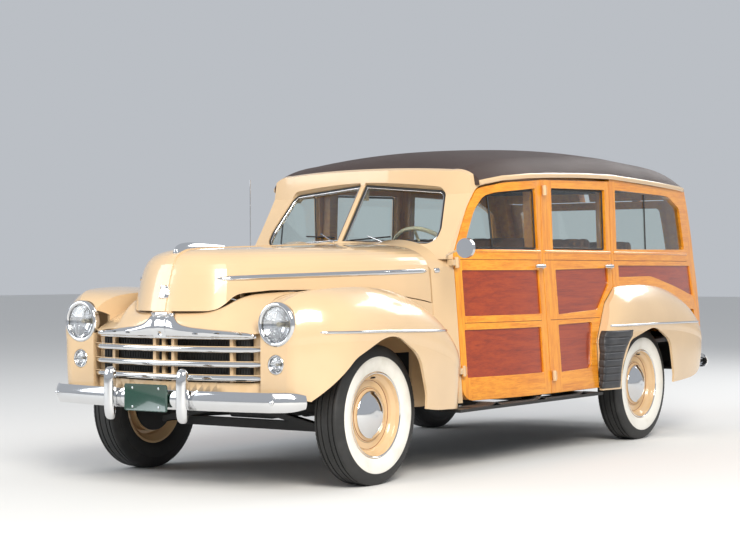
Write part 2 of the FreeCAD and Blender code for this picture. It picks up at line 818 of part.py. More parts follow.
def cowl():
    # The same section as the hood's rear, widening to the doors, down to the sills
    rows = [(hoodRear, 660, 1075, 1216), (800, 684, 1085, 1230), (doorFrontStation - panelGap, 700, 1100, 1246)]
    outer = lofted([crownWire(y, half, shoulder, top, sillBottom - 10, 0) for y, half, shoulder, top in rows])
    inner = lofted([crownWire(y, half - 26, shoulder, top, sillBottom - 100, 26) for y, half, shoulder, top in rows])
    skin = outer.cut(inner).cut(behindScreen(1200))
    flare = sideSlab(hoodRear, doorFrontStation - panelGap, 0, wallThickness)
    flare = flare.common(block(0, 900, hoodRear, 1000, sillBottom - 10, 1075))
    firewall = outer.common(block(-800, 800, firewallStation, firewallStation + 18, 640, 1400))
    shell = joined([skin, flare, mirrored(flare), firewall, hoodApron()])
    leaves = []
    low, high = frontHingeAxis
    for height in frontHingeHeights:
        middle = low + (high - low) * ((height - low.z) / (high.z - low.z))
        leaves.append(block(surfaceX(middle.y - 20, height) - 12, middle.x + 4, middle.y - 36, middle.y,
                            height - 16, height + 16))
    shell = joined([shell] + leaves + [mirrored(leaf) for leaf in leaves])
    for barrel in hingeBarrels(frontHingeAxis, frontHingeHeights, hingeRadius + fitGap, hingeLength + 2 * panelGap):
        shell = shell.cut(barrel).cut(mirrored(barrel))
    return shell.cut(steeringTube(columnRoom))


# Room for the closed front door, inside and out
def frontDoorRoom():
    grown = [
        (doorFrontStation - panelGap, sillBottom - 40),
        (doorFrontStation - panelGap, 1153, 40),
        (1036, 1420, 500),
        (1124, 1535, 110),
        (1330, 1574, 600),
        (doorRearStation, 1598),
        (doorRearStation, sillBottom - 40),
    ]
    slab = sideSlab(doorFrontStation - 20, frontTaperStart + 60, -30, wallThickness + panelGap)
    return slab.common(plateX(grown, 300, 1000))


def windscreenFrame():
    limit = sideSlab(hoodRear, frontTaperStart, 0, 820)
    half = screenPlate([(0, 1150), (0, 1590), (560, 1560, 60), (760, 1490, 40), (760, 1150)], 0, screenFrameDepth)
    header = bowedBand(740, 1128 - headerBulge, roofFrontStation - headerBulge, headerDepth, 1470, 1900)
    under = roofSolid().fuse(block(-900, 900, 900, 1300, 1400, 1560))
    header = header.common(block(0, 900, 900, 1300, 1400, 1900)).common(under)
    post = sideSlab(780, 1330, 0, wallThickness + 36).common(behindScreen(110))
    post = post.common(plateX([(700, 1130), (700, 1700), (railStart, 1700), (railStart, 1500), (1100, 1480),
                               (985, 1300), (945, 1130)], 300, 1000))
    half = joined([half, header, post]).common(limit)
    half = half.cut(screenPlate(screenHole(0), -60, screenFrameDepth + 200))
    half = half.cut(frontDoorRoom())
    half = half.cut(roof())
    behindRoof = roofAbove().cut(roofFrontCut()).cut(roofSpace())
    half = half.cut(behindRoof)
    return half.fuse(mirrored(half))


def windscreenGlass():
    return screenPlate(screenGlass, 14, 14 + glassThickness)


# Doors, posts and panels of the wooden body, as outlines in (station, height, corner radius)
frontDoorOutline = [
    (doorFrontStation, sillBottom, 70),
    (doorFrontStation, 1152, 40),
    (1040, 1416, 500),
    (1128, 1527, 110),
    (1330, 1563, 600),
    (doorRearStation - panelGap / 2, 1589),
    (doorRearStation - panelGap / 2, sillBottom),
]
rearDoorOutline = [
    (doorRearStation + panelGap / 2, sillBottom),
    (doorRearStation + panelGap / 2, 1591),
    (postStation - panelGap, 1616),
    (postStation - panelGap, 968, 30),
    (2400, 870, 80),
    (2268, 640, 160),
    (2262, sillBottom),
]
frontWindow = [(966, beltTop, 10), (1090, 1410, 300), (1170, 1486, 120), (1262, 1506, 300), (1612, 1540, 12),
               (1634, beltTop, 8)]
rearWindow = [(1806, beltTop + 4, 8), (1806, 1548, 12), (2478, 1562, 12), (2478, beltTop + 4, 8)]
frontUpperPanel = [(936, 820, 6), (936, beltBottom, 6), (1624, beltBottom, 6), (1624, 820, 6)]
frontLowerPanel = [(926, 486, 6), (926, 745, 6), (1606, 745, 6), (1606, 486, 6)]
rearUpperPanel = [(1822, 812, 6), (1822, beltBottom + 2, 6), (2480, beltBottom + 12, 6), (2480, 985, 40),
                  (2320, 832, 60)]
rearLowerPanel = [(1812, 478, 6), (1812, 752, 6), (2232, 758, 20), (2178, 486, 40)]
quarterWindow = [(2616, 1197, 8), (2616, 1566, 12), (3440, 1556, 300), (3640, 1480, 60), (3716, 1206, 20)]
quarterPanel = [(2628, 1026, 6), (2628, 1098, 6), (3800, 1098, 6), (3826, 893, 10), (3490, 962, 400), (3100, 1030, 600)]
quarterFrame = [
    (postStation, 900),
    (postStation, 1660),
    (3690, 1660),
    (3728, 1600, 60),
    (3800, 1430, 400),
    (3879, 1171, 400),
    (3916, 900),
    (3916, 800),
    (3640, 810, 300),
    (3480, 850, 500),
    (2950, 925, 900),
]
def doorPieces(outline, window, panels, y0, y1):
    wall = sideSlab(y0, y1, 0, wallThickness)
    blank = wall.common(plateX(outline, 400, 1000))
    windowTool = plateX(window, 400, 1000)
    panelTools = [plateX(p, 400, 1000) for p in panels]
    frame = blank.cut(windowTool)
    for tool in panelTools:
        frame = frame.cut(tool)
    panelSlab = sideSlab(y0, y1, panelRecess, wallThickness - 4)
    panelSolids = [panelSlab.common(tool) for tool in panelTools]
    glassSlab = sideSlab(y0, y1, glassRecess, glassRecess + glassThickness)
    glass = glassSlab.common(windowTool)
    return frame, panelSolids, glass


# Distance of the body's outer face from the middle plane
def surfaceX(y, z):
    low, high = (sideBelt, sideTop) if z > sideBelt[0] else (sideMid, sideBelt)
    share = (z - low[0]) / (high[0] - low[0])
    return low[1] + share * (high[1] - low[1]) - planShift(y)


# A round base and a lever that points forward
def doorHandle(y, z):
    x = surfaceX(y, z)
    base = Part.makeCylinder(15, 34, vec(x - 10, y, z), vec(1, 0, 0))
    stem = block(x + 22, x + 38, y - handleLength, y + 12, z - 9, z + 9)
    lever = stem.makeFillet(5, stem.Edges)
    return base.fuse(lever)


handleLength = 96
handleHeight = 1092
hingeRadius = 12
hingeLength = 58
frontHingeAxis = (vec(770, 880, 440), vec(718, 880, 1150))
rearHingeAxis = (vec(870, 1697, 440), vec(804, 1697, 1560))
frontHingeHeights = (525, 1112)
rearHingeHeights = (463, 1530)


# Exposed hinge barrels on the axis of a door, at heights
def hingeBarrels(axisPoints, heights, radius, length):
    low, high = axisPoints
    axis = (high - low).normalize()
    barrels = []
    for height in heights:
        middle = low + axis * ((height - low.z) / axis.z)
        barrels.append(Part.makeCylinder(radius, length, middle - axis * length / 2, axis))
    return barrels


# Barrels with a leaf each, let into the edge of the door
def hinges(axisPoints, heights):
    solids = hingeBarrels(axisPoints, heights, hingeRadius, hingeLength)
    low, high = axisPoints
    for height in heights:
        middle = low + (high - low) * ((height - low.z) / (high.z - low.z))
        leafY = middle.y + panelGap + 2
        leafInner = surfaceX(leafY + 20, height) - 4
        solids.append(block(leafInner, middle.x + 4, leafY - 6, leafY + 24, height - 22, height + 22))
    return solids


# Roof: sections as station, half width at the rail, rail bottom, rail top, crown height
roofSections = [
    (990, 672, 1512, 1534, 1622),
    (1300, 758, 1572, 1600, 1732),
    (1800, 796, 1610, 1634, 1797),
    (2550, 798, 1630, 1658, 1832),
    (3150, 784, 1614, 1644, 1808),
    (3600, 752, 1606, 1626, 1752),
    (3745, 734, 1600, 1616, 1690),
]
roofRim = 80


def roofWire(row, rim, inset):
    y, half, low, rail, crown = row
    half = half - rim
    low = low - rim
    crown = crown - inset
    shoulderX = half * 0.80
    shoulderZ = rail - inset + 0.66 * (crown - rail + inset)
    bulgeX = half * 0.94
    bulgeZ = rail - inset + 0.40 * (crown - rail + inset)
    rail = rail - inset
    edges = [
        Part.Arc(vec(half, y, rail), vec(bulgeX, y, bulgeZ), vec(shoulderX, y, shoulderZ)).toShape(),
        Part.Arc(vec(shoulderX, y, shoulderZ), vec(0, y, crown), vec(-shoulderX, y, shoulderZ)).toShape(),
        Part.Arc(vec(-shoulderX, y, shoulderZ), vec(-bulgeX, y, bulgeZ), vec(-half, y, rail)).toShape(),
        Part.LineSegment(vec(-half, y, rail), vec(-half, y, low)).toShape(),
        Part.LineSegment(vec(-half, y, low), vec(half, y, low)).toShape(),
        Part.LineSegment(vec(half, y, low), vec(half, y, rail)).toShape(),
    ]
    return Part.Wire(edges)


# The roof with the space under it, down to the bottom of its rails, for trimming what stands under it
def roofSolid():
    return lofted([roofWire(row, 0, 0) for row in roofSections])


def roofSpace():
    return lofted([roofWire(row, roofRim, roofThickness) for row in roofSections])


# Everything above the bottom of the roof's rails, and the seat gap under them
def roofAbove():
    wires = []
    for y, half, low, rail, crown in roofSections:
        bottom = low - fitGap
        corners = [vec(-900, y, bottom), vec(900, y, bottom), vec(900, y, 2000), vec(-900, y, 2000),
                   vec(-900, y, bottom)]
        wires.append(Part.makePolygon(corners))
    return lofted(wires)


# Plan of the roof's front edge, bowed over the windscreen
def roofFrontCut():
    front = Part.Arc(vec(-760, 1128, 1400), vec(0, roofFrontStation, 1400), vec(760, 1128, 1400)).toShape()
    edges = [
        front,
        Part.LineSegment(vec(760, 1128, 1400), vec(760, 900, 1400)).toShape(),
        Part.LineSegment(vec(760, 900, 1400), vec(-760, 900, 1400)).toShape(),
        Part.LineSegment(vec(-760, 900, 1400), vec(-760, 1128, 1400)).toShape(),
    ]
    return Part.Face(Part.Wire(edges)).extrude(vec(0, 0, 500))


roofFrontStation = 1050
headerBulge = 28
headerDepth = 60


def roof():
    shell = roofSolid().cut(roofSpace())
    rearRim = roofSpace().common(block(-800, 800, 3745 - headerDepth, 3800, 1600, 1900))
    return joined([shell, rearRim]).cut(roofFrontCut())


# Tail: the rear wall leans forward with height
# Circle of the rear wall's outer face, through three points (station, height)
rearLow = (3926, 600)
rearMiddle = (3892, 1171)
rearHigh = (3728, 1640)


def rearFace(z):
    circle = Part.Circle(vec(0, *rearLow), vec(0, *rearMiddle), vec(0, *rearHigh))
    return circle.Center.y + math.sqrt(circle.Radius ** 2 - (z - circle.Center.z) ** 2)


def rearWall(inset0, inset1, x0, x1, z0, z1):
    outer = [vec(x0, y - inset0, z) for y, z in (rearLow, rearMiddle, rearHigh)]
    inner = [vec(x0, y - inset1, z) for y, z in (rearHigh, rearMiddle, rearLow)]
    edges = [
        Part.Arc(*outer).toShape(),
        Part.LineSegment(outer[2], inner[0]).toShape(),
        Part.Arc(*inner).toShape(),
        Part.LineSegment(inner[2], outer[0]).toShape(),
    ]
    slab = Part.Face(Part.Wire(edges)).extrude(vec(x1 - x0, 0, 0))
    return slab.common(block(x0, x1, 3000, 4200, z0, z1))


gateHalf = 612
tailgateBottom = 652
tailgateTop = 1128
headerBottom = 1546
# Hinges of the two gates: station and height
tailHinge = (3942, 646)
liftHinge = (3784, 1546)
gateBarrel = 9


def seat(backStation, backTop, cushionFront, cushionTop, half):
    cushion = block(-half, half, cushionFront, backStation, cushionTop - 150, cushionTop)
    lean = [(backStation, cushionTop - 150, 10), (backStation + 40, cushionTop - 150, 20),
            (backStation + 150, backTop, 40), (backStation + 60, backTop, 40), (backStation, cushionTop, 10)]
    back = plateX(lean, -half, half)
    return joined([cushion, back])


# Seats: back station, back top, cushion front, cushion top, half width
seatRows = [
    (1690, 1262, 1190, 850, 640),
    (2440, 1268, 1960, 860, 640),
    (3300, 1262, 2860, 930, 500),
]
seatGap = 0.3


def seatFrames():
    solids = []
    for back, backTop, front, top, half in seatRows:
        under = top - 150 - seatGap
        pieces = [block(-half + 40, half - 40, front + 50, front + 90, under - 40, under),
                  block(-half + 40, half - 40, back - 40, back, under - 40, under)]
        for x in (-half + 40, half - 80):
            pieces.append(block(x, x + 40, front + 50, back, under - 40, under))
            for station in (front + 50, back - 40):
                floor = rearFloorTop if station > stepStation else floorTop
                pieces.append(block(x, x + 40, station, station + 40, floor, under))
        solids.append(joined(pieces))
    return solids


# Tail of the body


# Door buffers on the posts: front station, rear station, heights
doorBuffers = [
    (1652, 1664, (600, 1080)),
    (2518, 2555, (1010, 1400)),
]


def bodyFrame():
    slab = sideSlab(postStation, bodyEndStation, 0, wallThickness)
    side = slab.common(plateX(quarterFrame, 400, 1000))
    side = side.cut(plateX(quarterWindow, 400, 1000)).cut(plateX(quarterPanel, 400, 1000))
    tailLimit = sideSlab(3300, bodyEndStation + 20, 0, 700)
    post = rearWall(0, 110, gateHalf + panelGap, 800, 560, 1640).common(tailLimit)
    header = rearWall(0, 70, 0, 800, headerBottom, 1640).common(tailLimit)
    # Inner post behind the meeting edges of the doors, and the inner rail that carries the roof
    inner = wallThickness + panelGap + 1
    postSlab = sideSlab(doorFrontStation, 2600, inner, inner + 50)
    doorPost = postSlab.common(plateX([(1646, floorTop), (1722, floorTop), (1722, 1640), (1646, 1640)], 400, 1000))
    # Door buffers behind the free edge of each door
    buffers = []
    for start, end, heights in doorBuffers:
        bufferSlab = sideSlab(start - 10, end + 10, wallThickness + fitGap, inner + 10)
        buffers += [bufferSlab.common(block(400, 1000, start, end, z, z + 60)) for z in heights]
    railSlab = sideSlab(railStart, 2600, inner, inner + 45)
    rail = railSlab.common(plateX([(railStart, 1530), (1330, 1552, 600), (1700, 1580), (2600, 1600), (2600, 1700),
                                   (railStart, 1700)], 400, 1000))
    corner = sideSlab(2500, 2620, 0, inner + 50)
    corner = corner.common(plateX([(postStation, floorBottom + 200), (2600, floorBottom + 200), (2600, 1640),
                                   (postStation, 1640)], 400, 1000))
    bracket = block(330, 390, liftHinge[0] - 22, liftHinge[0] - 2, liftHinge[1] + 5, liftHinge[1] + 26)
    bracket = bracket.cut(rod(vec(300, *liftHinge), vec(420, *liftHinge), gateBarrel + fitGap))
    half = joined([side, post, header, doorPost, rail, corner, bracket] + buffers).cut(roofAbove())
    half = half.cut(plateX(quarterPanel, 690, 1000)).cut(wheelHouseRoom())
    return joined([half, mirrored(half)]).cut(roof())


def tailgate():
    wall = rearWall(0, wallThickness, -gateHalf, gateHalf, tailgateBottom, tailgateTop)
    tools = [block(x0, x1, 3500, 4200, tailgateBottom + 70, tailgateTop - 62) for x0, x1 in ((-552, -30), (30, 552))]
    frame = wall
    for tool in tools:
        frame = frame.cut(tool)
    infill = rearWall(panelRecess, wallThickness - 4, -gateHalf, gateHalf, tailgateBottom, tailgateTop)
    barrel = rod(vec(380, *tailHinge), vec(460, *tailHinge), gateBarrel)
    leaf = block(380, 460, tailHinge[0] - 18, tailHinge[0] - 2, tailHinge[1], tailHinge[1] + 56)
    frame = joined([frame, barrel, leaf, mirrored(barrel), mirrored(leaf)])
    return frame, Part.makeCompound([infill.common(tool) for tool in tools])


def liftgate():
    wall = rearWall(0, wallThickness, -gateHalf, gateHalf, tailgateTop + panelGap, headerBottom - panelGap)
    tool = plateY([(-548, 1196, 20), (548, 1196, 20), (540, 1492, 30), (-540, 1492, 30)], 3400, 4200)
    pane = rearWall(glassRecess, glassRecess + glassThickness, -gateHalf, gateHalf, 1100, 1600)
    barrel = rod(vec(330, *liftHinge), vec(390, *liftHinge), gateBarrel)
    leaf = block(330, 390, liftHinge[0] - 14, liftHinge[0] + 5, liftHinge[1] - 42, liftHinge[1])
    frame = joined([wall.cut(tool), barrel, leaf, mirrored(barrel), mirrored(leaf)])
    return frame, pane.common(tool)


def rearPan():
    outline = [(3926, 640), (3924, 560, 60), (3880, 420, 40), (3820, 392), (3820, 408), (3868, 430, 40), (3908, 560, 60),
               (3908, 640)]
    pan = plateX(outline, -gateHalf, gateHalf)
    for side in (1, -1):
        saddle = block(side * 420 - 45, side * 420 + 45, 3915, tailHinge[0] + 4, 615, tailHinge[1] - 4)
        room = rod(vec(side * 420 - 50, *tailHinge), vec(side * 420 + 50, *tailHinge), gateBarrel + fitGap)
        pan = pan.fuse(saddle.cut(room))
    for side in (1, -1):
        x0, x1 = sorted((side * (railInner - 4), side * (railOuter + 4)))
        pan = pan.cut(block(x0, x1, 3800, 3940, 380, 560))
    return pan


def quarterGlass():
    slab = sideSlab(2560, bodyEndStation, glassRecess, glassRecess + glassThickness)
    return slab.common(plateX(quarterWindow, 400, 1000))


def bodyPanels():
    slab = sideSlab(2560, bodyEndStation, panelRecess, wallThickness - 4)
    return slab.common(plateX(quarterPanel, 400, 1000))


def dashboard():
    outline = [(840, 1160), (852, 1060, 30), (900, 1000, 20), (925, 1000, 10), (905, 1080, 30), (930, 1172, 20)]
    board = plateX(outline, -646, 646)
    return board.cut(steeringTube(columnRoom))


def mirror():
    arm = rod(vec(668, 854, 1149), vec(900, 640, 1185), 6)
    head = Part.makeCylinder(52, 22, vec(940, 612, 1185), vec(0, 1, 0))
    return joined([arm, rod(vec(896, 645, 1184), vec(940, 625, 1185), 6), head])


def antenna():
    base = Part.makeCylinder(12, 24, vec(-640, 790, 1120), vec(0, 0, 1))
    return joined([base, Part.makeCylinder(3, 460, vec(-640, 790, 1140), vec(0, 0, 1))])


def lamps():
    x, y, z = headlamp
    head = lampHousing(x, y, z, headlampRadius, 90)
    px, py, pz = parkingLamp
    park = lampHousing(px, py, pz, parkingRadius, 60)
    tail = Part.makeCylinder(46, 38, vec(688, rearFace(760) + fitGap, 760), vec(0, 1, 0))
    return [head, park, tail]


# Bumpers: bowed blades with wrapped ends and two guards each
# Plan of half a bumper's blade, front and back: distance from the middle, distance behind the face
bladeFront = [(0, 0), (352, 23), (690, 88), (762, 148), (815, 216)]
bladeBack = [(801, 221), (751, 161), (682, 102), (350, 37), (0, 14)]
bladeLow = 402
bladeHigh = 496


def bumper(face, forward):
    def place(point):
        return vec(point[0], face - forward * point[1], bladeLow)

    front = [place(point) for point in bladeFront]
    back = [place(point) for point in bladeBack]
    edges = [
        Part.Arc(*front[:3]).toShape(),
        Part.Arc(*front[2:]).toShape(),
        Part.LineSegment(front[4], back[0]).toShape(),
        Part.Arc(*back[:3]).toShape(),
        Part.Arc(*back[2:]).toShape(),
        Part.LineSegment(back[4], front[0]).toShape(),
    ]
    half = Part.Face(Part.Wire(edges)).extrude(vec(0, 0, bladeHigh - bladeLow))
    rounded = plateY([(-300, bladeLow), (817, bladeLow, 38), (817, bladeHigh, 46), (-300, bladeHigh)],
                     face - 400, face + 400)
    half = half.common(rounded)
    solids = [half, mirrored(half)]
    for side in (1, -1):
        x = side * guardDistance
        guard = plateX([(face - forward * 16, guardLow, 8), (face + forward * 22, guardLow + 14, 20),
                        (face + forward * 34, guardLow + 60, 60), (face + forward * 34, guardHigh - 60, 50),
                        (face + forward * 10, guardHigh, 24), (face - forward * 16, guardHigh, 5)], x - 31, x + 31)
        y0, y1 = sorted((face - forward * 40, frameEnd[forward]))
        solids += [guard, block(side * 428 - 24, side * 428 + 24, y0, y1, bladeLow + 20, bladeHigh - 30)]
    return joined(solids)


guardDistance = 235
guardLow = 337
guardHigh = 602
frameEnd = {1: 4080, -1: -620}


def lampHousing(x, y, z, radius, depth):
    body = Part.makeCylinder(radius, depth, vec(x, y, z), vec(0, 1, 0))
    lens = Part.makeSphere(radius * 1.4, vec(x, y + math.sqrt((radius * 1.4) ** 2 - (radius - 10) ** 2), z))
    lens = lens.common(block(x - radius, x + radius, y - 60, y + 1, z - radius, z + radius))
    return body.fuse(lens)


headlamp = (640, -592, 813)
headlampRadius = 106
parkingLamp = (640, -596, 622)
parkingRadius = 48


columnAngle = math.radians(38)
wheelHub = (350, 1150, 1140)


columnReach = 640


def steeringTube(radius):
    hub = vec(*wheelHub)
    axis = vec(0, math.cos(columnAngle), math.sin(columnAngle))
    return rod(hub - axis * columnReach, hub - axis * 30, radius)


def steeringColumn():
    hub = vec(*wheelHub)
    axis = vec(0, math.cos(columnAngle), math.sin(columnAngle))
    shaft = rod(hub - axis * 40, hub - axis * 2, 9)
    box = Part.makeCylinder(48, 120, hub - axis * (columnReach + 20) - vec(60, 0, 0), vec(1, 0, 0))
    return joined([steeringTube(22), shaft, box])


def steeringWheel():
    hub = vec(*wheelHub)
    axis = vec(0, math.cos(columnAngle), math.sin(columnAngle))
    across = vec(1, 0, 0)
    up = vec(0, -math.sin(columnAngle), math.cos(columnAngle))
    rim = Part.makeTorus(208, 12, hub, axis)
    boss = Part.makeCylinder(34, 30, hub - axis * 26, axis).cut(Part.makeCylinder(9.4, 26, hub - axis * 26, axis))
    spokes = []
    for turn in (90, 210, 330):
        a = math.radians(turn)
        direction = across * math.cos(a) + up * math.sin(a)
        spokes.append(rod(hub - axis * 8 + direction * 20, hub + direction * 206, 8))
    return joined([rim, boss] + spokes)


def moved(shape):
    result = shape.copy()
    result.translate(vec(0, -originStation, 0))
    return result


def collect():
    nodes = {}
    front = {side: vec(side * frontTrack / 2, 0, tyreRadius) for side in (1, -1)}
    rear = {side: vec(side * rearTrack / 2, wheelBase, tyreRadius) for side in (1, -1)}
    names = {1: "left", -1: "right"}
    for side in (1, -1):
        name = names[side]
        nodes["tyre_front_" + name] = tyre(front[side], side)
        nodes["wheel_front_" + name] = wheel(front[side], side)
        nodes["tyre_rear_" + name] = tyre(rear[side], side)
        nodes["wheel_rear_" + name] = wheel(rear[side], side)
        nodes["knuckle_" + name] = knuckle(front[side], side)
    nodes["front_axle"] = frontAxle()
    nodes["rear_axle"] = rearAxle()
    nodes["chassis_frame"] = chassisFrame()
    nodes["engine"] = engine()
    nodes["exhaust"] = exhaust()
    nodes["fuel_tank"] = fuelTank()
    nodes["floor_pan"] = floorPan()
    nodes["running_boards"] = runningBoards()
    nodes["front_fenders"] = bothSolids(frontFender().cut(hoodApron()))
    nodes["rear_fenders"] = bothSolids(rearFender())
    nodes["hood"] = hood()
    nodes["cowl"] = joined([cowl(), windscreenFrame(), dashboard()])
    fenders = bothSolids(frontFenderBody())
    nodes["lamps"] = Part.makeCompound([piece for lamp in lamps() for piece in (lamp, mirrored(lamp))])
    nodes["grille_panel"] = grillePanel().cut(fenders).cut(nodes["lamps"])
    nodes["grille_bars"] = grilleBarSolids()
    frame, panels, glass = doorPieces(frontDoorOutline, frontWindow, [frontUpperPanel, frontLowerPanel],
                                      doorFrontStation - 20, frontTaperStart + 60)
    rearSet = doorPieces(rearDoorOutline, rearWindow, [rearUpperPanel, rearLowerPanel],
                         frontTaperStart, rearTaperStart)
    frame = joined([frame, doorHandle(1640, handleHeight)] + hinges(frontHingeAxis, frontHingeHeights))
    rearFrame = joined([rearSet[0], doorHandle(2490, handleHeight)] + hinges(rearHingeAxis, rearHingeHeights))
    rearSet = (rearFrame, rearSet[1], rearSet[2])
    for side in (1, -1):
        flip = (lambda s: s) if side == 1 else mirrored
        name = names[side]
        for end, parts in (("front", (frame, panels, glass)), ("rear", rearSet)):
            nodes["door_%s_%s_frame" % (end, name)] = flip(parts[0])
            nodes["door_%s_%s_panels" % (end, name)] = Part.makeCompound([flip(p) for p in parts[1]])
            nodes["door_%s_%s_glass" % (end, name)] = flip(parts[2])
    nodes["body_frame"] = bodyFrame()
    nodes["body_panels"] = bothSolids(bodyPanels())
    panes = [windscreenGlass(), quarterGlass()]
    nodes["fixed_glass"] = Part.makeCompound(panes + [mirrored(pane) for pane in panes])
    nodes["tailgate_frame"], nodes["tailgate_panels"] = tailgate()
    nodes["liftgate_frame"], nodes["liftgate_glass"] = liftgate()
    nodes["outside_fittings"] = Part.makeCompound([mirror().cut(nodes["cowl"]), antenna().cut(nodes["cowl"])])
    nodes["roof"] = roof()
    nodes["seats"] = Part.makeCompound([seat(*row) for row in seatRows])
    nodes["bumpers"] = Part.makeCompound([bumper(-806, -1), bumper(4160, 1)])
    nodes["steering_column"] = steeringColumn()
    nodes["steering_wheel"] = steeringWheel()
    return nodes


def bothSolids(shape):
    return Part.makeCompound([shape, mirrored(shape)])


nodes = collect()
os.makedirs("parts", exist_ok=True)
for name, shape in nodes.items():
    finished = moved(shape)
    finished.exportStep("parts/" + name + ".step")
    print(name, "solids", len(finished.Solids), "valid", finished.isValid(), "litres", round(finished.Volume / 1e6, 2))
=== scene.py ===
import bpy
import bmesh
import json
import math
from mathutils import Matrix, Vector
from mathutils.bvhtree import BVHTree

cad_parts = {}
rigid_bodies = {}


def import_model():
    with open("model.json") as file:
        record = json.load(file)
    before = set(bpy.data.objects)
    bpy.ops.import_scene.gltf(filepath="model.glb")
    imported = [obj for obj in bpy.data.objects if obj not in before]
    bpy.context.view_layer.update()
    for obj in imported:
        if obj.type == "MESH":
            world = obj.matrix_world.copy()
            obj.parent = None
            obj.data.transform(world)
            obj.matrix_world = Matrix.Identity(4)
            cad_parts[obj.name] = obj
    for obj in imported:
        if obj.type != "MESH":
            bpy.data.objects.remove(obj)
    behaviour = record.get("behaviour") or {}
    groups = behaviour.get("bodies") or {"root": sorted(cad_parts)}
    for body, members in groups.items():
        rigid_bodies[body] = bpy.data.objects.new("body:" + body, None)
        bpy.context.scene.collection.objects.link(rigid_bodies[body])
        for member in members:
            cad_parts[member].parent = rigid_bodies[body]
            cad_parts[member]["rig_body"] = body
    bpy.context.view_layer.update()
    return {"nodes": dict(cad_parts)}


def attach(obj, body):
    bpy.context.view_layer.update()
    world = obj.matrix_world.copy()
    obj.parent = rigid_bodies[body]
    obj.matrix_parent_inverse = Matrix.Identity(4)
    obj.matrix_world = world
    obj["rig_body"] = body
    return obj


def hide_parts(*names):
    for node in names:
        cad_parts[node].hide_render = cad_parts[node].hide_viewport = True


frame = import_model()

nodes = frame["nodes"]
axleY = -1.677  # the front axle's place along the car, in metres
hubHeight = 350  # millimetres above the floor
tipRadius = 0.01  # a turned piece closes at its axis with this radius


def linked(name, data):
    thing = bpy.data.objects.new(name, data)
    bpy.context.scene.collection.objects.link(thing)
    return thing


cameraSpot = {
    "place": (5.730, -8.754, 1.056),
    "azimuth": 35.053,
    "pitch": 0.144,
    "roll": -0.215,
    "focal": 84.35,
}


def setCamera(spot):
    a, e, r = (math.radians(spot[key]) for key in ("azimuth", "pitch", "roll"))
    back = Vector((math.sin(a) * math.cos(e), -math.cos(a) * math.cos(e), math.sin(e)))
    right = (-back).cross(Vector((0, 0, 1))).normalized()
    up = right.cross(-back)
    turnedRight = math.cos(r) * right + math.sin(r) * up
    turnedUp = math.cos(r) * up - math.sin(r) * right
    data = bpy.data.cameras.new("photoCamera")
    data.lens = spot["focal"]
    data.sensor_width = 36
    data.sensor_fit = "HORIZONTAL"
    data.clip_end = 200
    camera = linked("photoCamera", data)
    turn = Matrix((turnedRight, turnedUp, back)).transposed().to_4x4()
    camera.matrix_world = Matrix.Translation(spot["place"]) @ turn
    bpy.context.scene.camera = camera


# Area lamps: place, target, size, power, colour
lightLook = {
    "keyLight": ((7.5, -7.5, 7.5), (0, 0, 0.8), (5, 5), 1500, (1.0, 0.955, 0.88)),
    "fillLight": ((-7.0, -8.0, 4.5), (0, -0.5, 0.8), (6, 5), 420, (0.92, 0.96, 1.0)),
    "backLight": ((2.0, 8.5, 6.5), (0, 0.5, 1.0), (6, 4), 420, (1.0, 1.0, 1.0)),
}


def areaLight(name, place, target, size, power, colour):
    data = bpy.data.lights.new(name, "AREA")
    data.shape = "RECTANGLE"
    data.size, data.size_y = size
    data.energy = power
    data.color = colour
    lamp = linked(name, data)
    lamp.location = place
    lamp.rotation_euler = (Vector(target) - Vector(place)).to_track_quat("-Z", "Y").to_euler()


# One operation on a socket's value. Swapped, the socket stands second
def shaderSum(operation, swapped=False):
    def operate(self, other):
        first, second = (other, self) if swapped else (self, other)
        return self.finish.node("ShaderNodeMath", {"operation": operation}, {0: first, 1: second})

    return operate


# A socket in a finish's node tree, so that shader sums are written as plain sums
class Wire:
    def __init__(self, finish, socket):
        self.finish = finish
        self.socket = socket

    __add__ = shaderSum("ADD")
    __radd__ = shaderSum("ADD", True)
    __sub__ = shaderSum("SUBTRACT")
    __rsub__ = shaderSum("SUBTRACT", True)
    __mul__ = shaderSum("MULTIPLY")
    __rmul__ = shaderSum("MULTIPLY", True)
    __gt__ = shaderSum("GREATER_THAN")
    __lt__ = shaderSum("LESS_THAN")
    larger = shaderSum("MAXIMUM")


